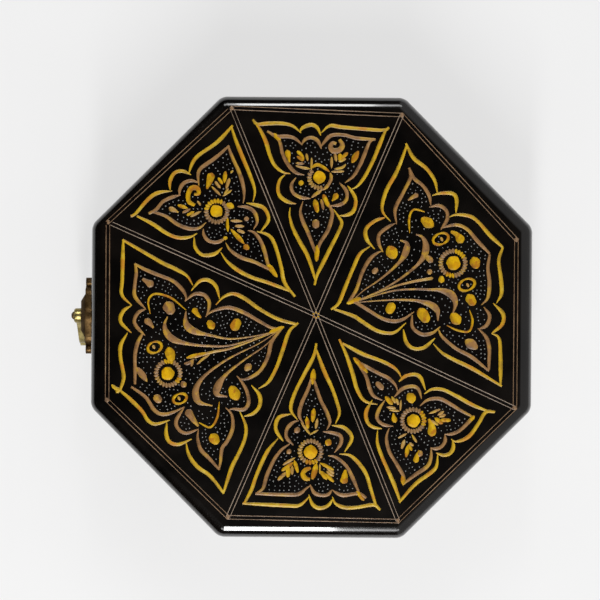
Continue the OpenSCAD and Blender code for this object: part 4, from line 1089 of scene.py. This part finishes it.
def stippleRows(outline, strokes, hand):
    # rows that follow the outline, each a step further in; then the gaps left between are filled
    contour = []
    for points in outline:
        contour += smoothed(points, 1.2)
    taken = []
    for points, width, head, tail in strokes:
        path = smoothed(points, 0.8)
        for i, (x, y) in enumerate(path):
            reach = width / 2 * pressed(i / (len(path) - 1), head, tail, bluntness(path, width))
            taken.append((x, y, (reach + stipple["clear"]) ** 2))
    dots = []

    def sow(x, y, apart, inset):
        if any((x - u) ** 2 + (y - v) ** 2 < apart ** 2 for u, v in dots):
            return
        if any((x - u) ** 2 + (y - v) ** 2 < r for u, v, r in taken):
            return
        if min((x - u) ** 2 + (y - v) ** 2 for u, v in contour) < inset ** 2:
            return
        if insideOf(contour, (x, y)):
            dots.append((x, y))

    inset = stipple["firstRow"]
    while inset < stipple["deepest"]:
        carried = 0
        for a, b in zip(contour, contour[1:] + contour[:1]):
            length = math.dist(a, b)
            carried += length
            if carried < stipple["gap"] or length == 0:
                continue
            carried = 0
            for side in (-1, 1):
                x = a[0] - side * (b[1] - a[1]) / length * inset
                x += hand.uniform(-1, 1) * stipple["jitter"]
                y = a[1] + side * (b[0] - a[0]) / length * inset
                y += hand.uniform(-1, 1) * stipple["jitter"]
                sow(x, y, stipple["apart"] * stipple["gap"], inset * stipple["keepIn"])
        inset += stipple["gap"] * stipple["rowStep"]
    left, right = min(x for x, y in contour), max(x for x, y in contour)
    low, high = min(y for x, y in contour), max(y for x, y in contour)
    for i in range(stipple["tries"]):
        sow(hand.uniform(left, right), hand.uniform(low, high),
            stipple["fillApart"] * stipple["gap"], stipple["firstRow"])
    return dots


def sowDots(name, points, hand):
    # small flattened drops of paint at the points, in three sizes, on the plane z = 0
    sown = [[] for radius in stipple["radii"]]
    for point in points:
        sown[hand.choice(stipple["sizes"])].append(point)
    sets = []
    for radius, places in zip(stipple["radii"], sown):
        deselectAll()
        bpy.ops.mesh.primitive_uv_sphere_add(segments=8, ring_count=6, radius=radius * mm)
        dot = bpy.context.view_layer.objects.active
        bpy.ops.object.mode_set(mode="EDIT")
        bpy.ops.mesh.select_all(action="SELECT")
        bpy.ops.mesh.bisect(plane_co=(0, 0, 0), plane_no=(0, 0, 1), use_fill=True,
                            clear_inner=True)
        bpy.ops.transform.resize(value=(1, 1, brush["dotT"] / radius), center_override=(0, 0, 0))
        bpy.ops.object.mode_set(mode="OBJECT")
        seeds = bpy.data.meshes.new("dotSeeds")
        seeds.from_pydata([(x * mm, y * mm, 0) for x, y in places], [], [])
        ground = bpy.data.objects.new("dotSeeds", seeds)
        bpy.context.scene.collection.objects.link(ground)
        dot.parent = ground
        ground.instance_type = "VERTS"
        takeUp(ground)
        bpy.ops.object.duplicates_make_real()
        placed = [o for o in bpy.context.selected_objects if o.type == "MESH" and o != ground]
        bpy.data.objects.remove(dot)
        bpy.data.objects.remove(ground)
        for copy in placed:
            copy.data = copy.data.copy()
        sets.append(joinAll(placed, "stippleSet"))
    piece = joinAll(sets, name)
    takeUp(piece)
    bpy.ops.object.transform_apply(location=True, rotation=True, scale=True)
    return piece


def stippleLid():
    hand = random.Random(stipple["seed"])
    points = []
    for panel in panelTurns:
        strokes = [stroke for paint in paints for stroke in panelStrokes(panel, paint)]
        points += inPlace(stippleRows(innerStrokes[panel], strokes, hand), panel)
    piece = sowDots("stippledGround", points, hand)
    layOnLid(piece)
    smoothOver(piece, angle=50)
    setUp(piece, dotPaint, "lid", "tan_paint")
    print("box: stippled ground,", len(points), "dots")


stippleLid()

# Painted sides: a quarter of one side's panel, written from the panel's middle.
# The heights of the lines are the box's own.
sideWork = {
    "middle": 25.8, "step": 0.9, "lineStep": 3,
    "outer": [[(1.2, 17), (5.4, 14.6), (11.4, 13.6), (16.2, 11.2), (17.9, 7)],
              [(18.6, 7.6), (22.4, 11.2), (26.4, 10.6), (28.6, 7.2), (28.8, 3.6)],
              [(29.2, 4.2), (32.6, 5.4), (35.6, 3), (38.2, 0.8)]],
    "inner": [[(1.2, 12.4), (5, 10.4), (9.8, 9.6), (13, 7.6), (14.2, 4.2)],
              [(14.8, 4.4), (17.8, 7), (21.6, 7), (24, 4.8), (24.6, 2)],
              [(25, 2.2), (27.6, 2.8), (30.4, 1.8), (33, 0.7)]],
    "outerW": 1.7, "innerW": 1.55, "ends": (0.3, 0.25), "lineEnds": (0.9, 0.9),
    "flower": (0, 0, 2.8, 5.9), "golden": [(30, 100), (210, 280)],
    "touches": [
        ("sprig", "leaf", [(8.2, 0), (13.8, 0)], 1.5),
        ("yellow", "daub", [(17.4, 0), (21.2, 0)], 3.2),
        ("sprig", "leaf", [(23, 0), (28.6, 0)], 1.4),
        ("sprig", "leaf", [(8, 1.3), (12.6, 3)], 1.3),
        ("sprig", "leaf", [(7.3, 2.6), (11, 5.6)], 1.3),
        ("sprig", "leaf", [(5.8, 4.6), (8.4, 7.6)], 1.3),
        ("copper", "daub", [(0, 7.4), (0, 9.8)], 1.9),
        ("sprig", "leaf", [(17.8, 2.1), (16.6, 4.6)], 1.2),
        ("sprig", "leaf", [(20.8, 2.1), (22.4, 4.2)], 1.2),
        ("yellow", "leaf", [(37.8, 17.2), (31.2, 12.6)], 1.9),
        ("sprig", "leaf", [(36.8, 18.2), (29.8, 16.6)], 1.4),
        ("sprig", "leaf", [(38.6, 15.8), (35.2, 9.4)], 1.4),
        ("copper", "daub", [(24.6, 15.4), (26.8, 14.2)], 1.8),
        ("yellow", "daub", [(10.4, 17.4), (13.6, 16.6)], 1.7),
    ],
    "bodyLines": [4, 5.7, 45.5, 47.2], "lidLines": [56, 57.7], "lineRun": 39.4,
    "latchHalf": 19,                        # the lid's front lines start this far out
    "catchHalf": 10.6, "catchLow": 6.6,     # nothing is painted where the catch sits
}


def toEveryQuarter(strokes):
    # a stroke that lies on an axis is its own mirror image there and isn't laid twice
    quarters = []
    for points, *rest in strokes:
        for sx in ((1,) if all(abs(x) < 0.01 for x, y in points) else (1, -1)):
            for sy in ((1,) if all(abs(y) < 0.01 for x, y in points) else (1, -1)):
                quarters.append(([(x * sx, y * sy) for x, y in points], *rest))
    return quarters


def besideCatch(point):
    return abs(point[0]) > sideWork["catchHalf"] or point[1] < sideWork["catchLow"]


def onEverySide(name, strokes):
    # the front's strokes stop where the catch is nailed on
    front = []
    for points, *rest in strokes:
        clear = [point for point in smoothed(points, sideWork["step"]) if besideCatch(point)]
        if len(clear) > 2:
            front.append((clear, *rest))
    copies = []
    for work, turns in ((front, sideTurns[:1]), (strokes, sideTurns[1:])):
        piece = brushWork(name, work, brush["paintT"], step=sideWork["step"])
        copies.append(layOnSides(piece, name, turns, sideWork["middle"]))
    return joinAll(copies, name)


def paintSides():
    # one panel to a side; gives back its strokes, which the dots of the ground keep clear of
    ends = sideWork["ends"]
    outer = toEveryQuarter([(points, sideWork["outerW"], *ends) for points in sideWork["outer"]])
    inner = toEveryQuarter([(points, sideWork["innerW"], *ends) for points in sideWork["inner"]])
    x, y, dot, halo = sideWork["flower"]
    heart = [heartStroke(x, y, dot)]
    touches = {}
    for paint in paints:
        quarter = [(points, width, *touchShapes[kind])
                   for colour, kind, points, width in sideWork["touches"] if colour == paint]
        ring = flowerRing(x, y, halo, sideWork["golden"], paint)
        touches[paint] = toEveryQuarter(quarter) + ring
    for name, strokes, material, slotName, nodes in (
            ("bodyScrolls", outer, yellowPaint, "yellow_paint", ["body_scrolls"]),
            ("bodyInnerScrolls", inner, copperPaint, "copper_paint", []),
            ("bodyFlowers", touches["yellow"], yellowDab, "yellow_paint", ["body_flowers"]),
            ("bodyHearts", heart, heartPaint, "yellow_paint", []),
            ("bodyDaubs", touches["copper"], copperDab, "copper_paint", []),
            ("bodySprigs", touches["sprig"], sprigPaint, "copper_paint", []),
            ("bodyTufts", touches["tuft"], tuftPaint, "copper_paint", [])):
        piece = onEverySide(name, strokes)
        smoothOver(piece, angle=60)
        setUp(piece, material, "box", slotName, *nodes)
    return heart + [stroke for paint in paints for stroke in touches[paint]]


def stippleSides(strokes):
    # the ground inside the inner scrolls
    hand = random.Random(stipple["seed"])
    quarter = sideWork["inner"]
    back = [stroke[::-1] for stroke in quarter[::-1]]
    outline = list(quarter)
    for lines, sx, sy in ((back, 1, -1), (quarter, -1, -1), (back, -1, 1)):
        outline += [[(sx * x, sy * y) for x, y in points] for points in lines]
    dots = stippleRows(outline, strokes, hand)
    copies = []
    for places, turns in (([point for point in dots if besideCatch(point)], sideTurns[:1]),
                          (dots, sideTurns[1:])):
        piece = sowDots("bodyStipple", places, hand)
        copies.append(layOnSides(piece, "bodyStipple", turns, sideWork["middle"]))
    piece = joinAll(copies, "bodyStipple")
    smoothOver(piece, angle=50)
    setUp(piece, dotPaint, "box", "tan_paint")


def sideLines(heights, *runs):
    return [([(start, z), (end, z)], brush["lineW"], *sideWork["lineEnds"])
            for start, end in runs for z in heights]


def ruleSides():
    # the lid's front lines break off at the latch
    run, latch = sideWork["lineRun"], sideWork["latchHalf"]
    body = sideLines(sideWork["bodyLines"], (-run, run))
    lid = sideLines(sideWork["lidLines"], (-run, run))
    front = sideLines(sideWork["lidLines"], (-latch, -run), (latch, run))
    for name, works, part, node in (
            ("bodySideLines", [(body, sideTurns)], "box", "body_side_lines"),
            ("lidSideLines", [(front, sideTurns[:1]), (lid, sideTurns[1:])], "lid",
             "lid_side_lines")):
        copies = []
        for strokes, turns in works:
            piece = brushWork(name, strokes, brush["lineT"], step=sideWork["lineStep"],
                              resolution=1)
            copies.append(layOnSides(piece, name, turns, 0))
        piece = joinAll(copies, name)
        smoothOver(piece, angle=60)
        setUp(piece, tanPaint, part, "tan_paint", node)


stippleSides(paintSides())
ruleSides()
print("box: sides painted")

# Lacquered boards

lidTop = {
    "thick": 9.0, "cornerSteps": 8, "edgeSteps": 10,
    "upright": 5,       # an edge that is taller than this is a corner
    "nearTop": 0.1,     # an edge that is this near the top is its rim
    "spare": 0.05,      # left flat so that the rounding doesn't meet itself
}


def makeLidPanel():
    panel = octagonSlab("lidPanel", box["half"], lidTop["thick"], box["panelZ"])

    def heights(edge):
        return [panel.data.vertices[i].co.z for i in edge.vertices]

    pickOut(panel, "EDGE",
            lambda edge: max(heights(edge)) - min(heights(edge)) > lidTop["upright"] * mm)
    bpy.ops.mesh.bevel(offset=box["roundR"] * math.tan(mitre) * mm, affect="EDGES",
                       segments=lidTop["cornerSteps"], profile=0.5, clamp_overlap=False)
    bpy.ops.object.mode_set(mode="OBJECT")
    pickOut(panel, "EDGE",
            lambda edge: min(heights(edge)) > (box["topZ"] - lidTop["nearTop"]) * mm)
    bpy.ops.mesh.bevel(offset=(box["roundR"] - lidTop["spare"]) * mm, affect="EDGES",
                       segments=lidTop["edgeSteps"], profile=0.5, clamp_overlap=False)
    bpy.ops.object.mode_set(mode="OBJECT")
    faceOutwards(panel)
    smoothOver(panel, angle=30)
    evenOut(panel)
    setUp(panel, lacquer, "lid", "lacquered_wood", "lid_panel")


def copyOf(node, name):
    # a CAD node's mesh to work on, its triangles still loose
    copy = bpy.data.objects.new(name, frame["nodes"][node].data.copy())
    bpy.context.scene.collection.objects.link(copy)
    return copy



mitreJoint = {
    "first": 22.5, "every": 45,         # degrees round the box
    "near": 0.08, "facing": 0.95,       # a hidden face lies this near it and faces across it
    "weld": 0.004, "clean": 0.01,       # points closer than this are made one
}


def closeCase(name, nodes, body):
    # eight mitred boards under one skin of lacquer: welded, and the hidden mitre faces taken out
    case = joinAll([copyOf(node, node + "Board") for node in nodes], name)
    takeUp(case)
    bpy.ops.object.mode_set(mode="EDIT")
    bpy.ops.mesh.select_all(action="SELECT")
    bpy.ops.mesh.remove_doubles(threshold=mitreJoint["weld"] * mm)

    def inMitre(face):
        x, y = face.center.x, face.center.y
        off = math.degrees(math.atan2(y, x)) % mitreJoint["every"] - mitreJoint["first"]
        sideways = abs(-face.normal.x * y + face.normal.y * x) / math.hypot(x, y)
        return abs(off) < mitreJoint["near"] and sideways > mitreJoint["facing"]

    pickOut(case, "FACE", inMitre)
    bpy.ops.mesh.delete(type="ONLY_FACE")
    bpy.ops.object.mode_set(mode="OBJECT")
    faceOutwards(case, mitreJoint["clean"])
    smoothOver(case, angle=30)
    evenOut(case)
    setUp(case, lacquer, body, "lacquered_wood", *nodes)


sideNames = ["front", "front_right", "right", "back_right", "back", "back_left", "left",
             "front_left"]
makeLidPanel()
closeCase("bodyWalls", ["wall_" + side for side in sideNames], "box")
closeCase("lidRims", ["lid_rim_" + side for side in sideNames], "lid")
print("box: boards lacquered")


def polished(node, name, material, body, slotName, bevel, steps=2):
    # a welded copy with its edges eased
    piece = copyOf(node, name)
    faceOutwards(piece, mitreJoint["weld"])
    easeEdges(piece, bevel, steps)
    smoothOver(piece)
    setUp(piece, material, body, slotName, node)
    return piece


polished("base_panel", "basePanel", lacquer, "box", "lacquered_wood", 0.3)

# Velvet lining

pads = {
    "floor": {"z": 5.0, "thick": 3.0, "edge": 1.7, "up": 1, "body": "box", "node": "floor_lining"},
    "lid": {"z": 67.0, "thick": 3.0, "edge": 1.7, "up": -1, "body": "lid", "node": "lid_lining"},
    "apothem": 93.3, "insets": [0.8, 1.6, 4, 9, 16, 22], "rise": [0.45, 0.75, 0.9, 0.97, 1, 1],
    "ease": 0.5, "stripEase": 0.45, "easeSteps": 3,
}


def makePad(name, pad):
    cushion = octagonSlab(name, pads["apothem"], pad["edge"], 0)
    pickOut(cushion, "FACE", lambda face: face.normal.z > 0.9)
    height = 0
    for inset, rise in zip(pads["insets"], pads["rise"]):
        step = (pad["thick"] - pad["edge"]) * rise - height
        height += step
        bpy.ops.mesh.inset(thickness=inset * mm, depth=0)
        bpy.ops.transform.translate(value=(0, 0, step * mm))
    bpy.ops.object.mode_set(mode="OBJECT")
    easeEdges(cushion, pads["ease"], pads["easeSteps"])
    if pad["up"] < 0:
        cushion.data.transform(Matrix.Rotation(math.pi, 4, "X"))
    cushion.data.transform(Matrix.Translation((0, 0, pad["z"] * mm)))
    faceOutwards(cushion)
    smoothOver(cushion, angle=50)
    setUp(cushion, velvet, pad["body"], "velvet", pad["node"])


makePad("floorPad", pads["floor"])
makePad("lidPad", pads["lid"])
for side in sideNames:
    strip = polished("lining_" + side, "wallLining_" + side, velvet, "box", "velvet",
                     pads["stripEase"], pads["easeSteps"])
print("box: lined")

# Brass

metalWork = [
    ("latch_plate", "latchPlate", agedBrass, "lid", "aged_brass", 0.35),
    ("latch_nails", "latchNails", agedBrass, "lid", "aged_brass", 0.12),
    ("hook", "swingHook", goldBrass, "hook", "bright_brass", 0.45),
    ("hook_rivet", "hookRivet", agedBrass, "lid", "aged_brass", 0.15),
    ("catch_plate", "catchPlate", agedBrass, "box", "aged_brass", 0.3),
    ("catch_nails", "catchNails", agedBrass, "box", "aged_brass", 0.12),
    ("catch_stud", "catchStud", goldBrass, "box", "bright_brass", 0.25),
    ("hinge_left_body_leaf", "hingeLeftBodyLeaf", agedBrass, "box", "aged_brass", 0.1),
    ("hinge_left_lid_leaf", "hingeLeftLidLeaf", agedBrass, "lid", "aged_brass", 0.1),
    ("hinge_left_pin", "hingeLeftPin", pinSteel, "box", "steel_pin", 0.06),
    ("hinge_right_body_leaf", "hingeRightBodyLeaf", agedBrass, "box", "aged_brass", 0.1),
    ("hinge_right_lid_leaf", "hingeRightLidLeaf", agedBrass, "lid", "aged_brass", 0.1),
    ("hinge_right_pin", "hingeRightPin", pinSteel, "box", "steel_pin", 0.06),
    ("body_hinge_screws", "bodyHingeScrews", agedBrass, "box", "aged_brass", 0.05),
    ("lid_hinge_screws", "lidHingeScrews", agedBrass, "lid", "aged_brass", 0.05),
]
for node, name, material, body, slotName, bevel in metalWork:
    polished(node, name, material, body, slotName, bevel)
print("box: brass fitted")

# Floor, light and camera

studio = {
    "floorHalf": 4.0, "floorDrop": 0.2, "floorRough": 0.9,
    "floorTones": [(0.3, (0.80, 0.80, 0.80)), (0.7, (0.84, 0.84, 0.84))], "floorGrain": 9,
    "backdrop": 0.87,            # what the camera sees of floor and backdrop, linear
    "glowShare": 0.7,            # the floor has this share of it whatever the light
    # each softbox: side, height above the horizon in degrees, shift, length, height, power
    "softboxAway": 1.3,
    "softboxes": {
        "longLeft": (-1, 44, 0, 1.05, 0.36, 5.4), "longRight": (1, 44, 0, 1.05, 0.36, 5.4),
        "stripLeft": (-1, 45, 0, 0.14, 0.42, 2.6), "stripRight": (1, 50, -0.03, 0.12, 0.76, 12.5),
    },
    "wallFrom": 0.10, "wallTo": 0.32, "roomLight": 0.01, "wallLight": 0.45,     # behind the box
    "lens": 134.0, "height": 1.1, "aimX": -7.94, "aimY": -5.4, "roll": 0.4,
}


def layFloor():
    deselectAll()
    bpy.ops.mesh.primitive_plane_add(size=2 * studio["floorHalf"],
                                     location=(0, 0, -studio["floorDrop"] * mm))
    floor = bpy.context.view_layer.objects.active
    floor.name = "studioFloor"
    finish, nodes, links, shader = newFinish("paleFloor")
    grain = speckle(nodes, links, studio["floorGrain"])
    tone = ramp(nodes, links, grain.outputs["Fac"], studio["floorTones"])
    links.new(tone.outputs["Color"], shader.inputs["Base Color"])
    shader.inputs["Roughness"].default_value = studio["floorRough"]
    glow = nodes.new("ShaderNodeEmission")
    glow.inputs["Color"].default_value = (1, 1, 1, 1)
    glow.inputs["Strength"].default_value = studio["backdrop"]
    ray = nodes.new("ShaderNodeLightPath")
    share = nodes.new("ShaderNodeMath")
    share.operation = "MULTIPLY"
    share.inputs[1].default_value = studio["glowShare"]
    links.new(ray.outputs["Is Camera Ray"], share.inputs[0])
    blend = nodes.new("ShaderNodeMixShader")
    links.new(share.outputs["Value"], blend.inputs["Fac"])
    links.new(shader.outputs["BSDF"], blend.inputs[1])
    links.new(glow.outputs["Emission"], blend.inputs[2])
    links.new(blend.outputs["Shader"], nodes["Material Output"].inputs["Surface"])
    floor.data.materials.append(finish)


def hangSoftboxes():
    away = studio["softboxAway"]
    for name, (side, turn, shift, length, height, power) in studio["softboxes"].items():
        lift = math.radians(turn)
        lamp = bpy.data.lights.new(name, "AREA")
        lamp.shape = "RECTANGLE"
        lamp.size = length
        lamp.size_y = height
        lamp.energy = power
        holder = bpy.data.objects.new(name, lamp)
        bpy.context.scene.collection.objects.link(holder)
        holder.location = (side * away * math.cos(lift), shift,
                           away * math.sin(lift) + box["topZ"] * mm)
        aim = Vector((0, shift, box["topZ"] * mm)) - holder.location
        holder.rotation_euler = aim.to_track_quat("-Z", "Y").to_euler()


def paintSky():
    # a dim room with one pale wall behind the hinges
    world = bpy.data.worlds.new("studioRoom")
    bpy.context.scene.world = world
    world.use_nodes = True
    nodes, links = world.node_tree.nodes, world.node_tree.links
    place = nodes.new("ShaderNodeTexCoord")
    split = nodes.new("ShaderNodeSeparateXYZ")
    links.new(place.outputs["Generated"], split.inputs["Vector"])
    wall = span(nodes, links, split.outputs["Y"], studio["roomLight"], studio["wallLight"],
                studio["wallFrom"], studio["wallTo"])
    dim = nodes["Background"]
    dim.inputs["Color"].default_value = (1, 1, 1, 1)
    links.new(wall.outputs["Result"], dim.inputs["Strength"])
    pale = nodes.new("ShaderNodeBackground")
    pale.inputs["Strength"].default_value = studio["backdrop"]
    ray = nodes.new("ShaderNodeLightPath")
    blend = nodes.new("ShaderNodeMixShader")
    links.new(ray.outputs["Is Camera Ray"], blend.inputs["Fac"])
    links.new(dim.outputs["Background"], blend.inputs[1])
    links.new(pale.outputs["Background"], blend.inputs[2])
    links.new(blend.outputs["Shader"], nodes["World Output"].inputs["Surface"])


def setCamera():
    lens = bpy.data.cameras.new("overheadCamera")
    lens.sensor_width = 36
    lens.lens = studio["lens"]
    camera = bpy.data.objects.new("overheadCamera", lens)
    bpy.context.scene.collection.objects.link(camera)
    camera.location = (studio["aimX"] * mm, studio["aimY"] * mm, studio["height"])
    camera.rotation_euler = (0, 0, math.radians(90 + studio["roll"]))
    bpy.context.scene.camera = camera


layFloor()
hangSoftboxes()
paintSky()
setCamera()
bpy.context.scene.view_settings.view_transform = "Standard"
print("box: studio set")
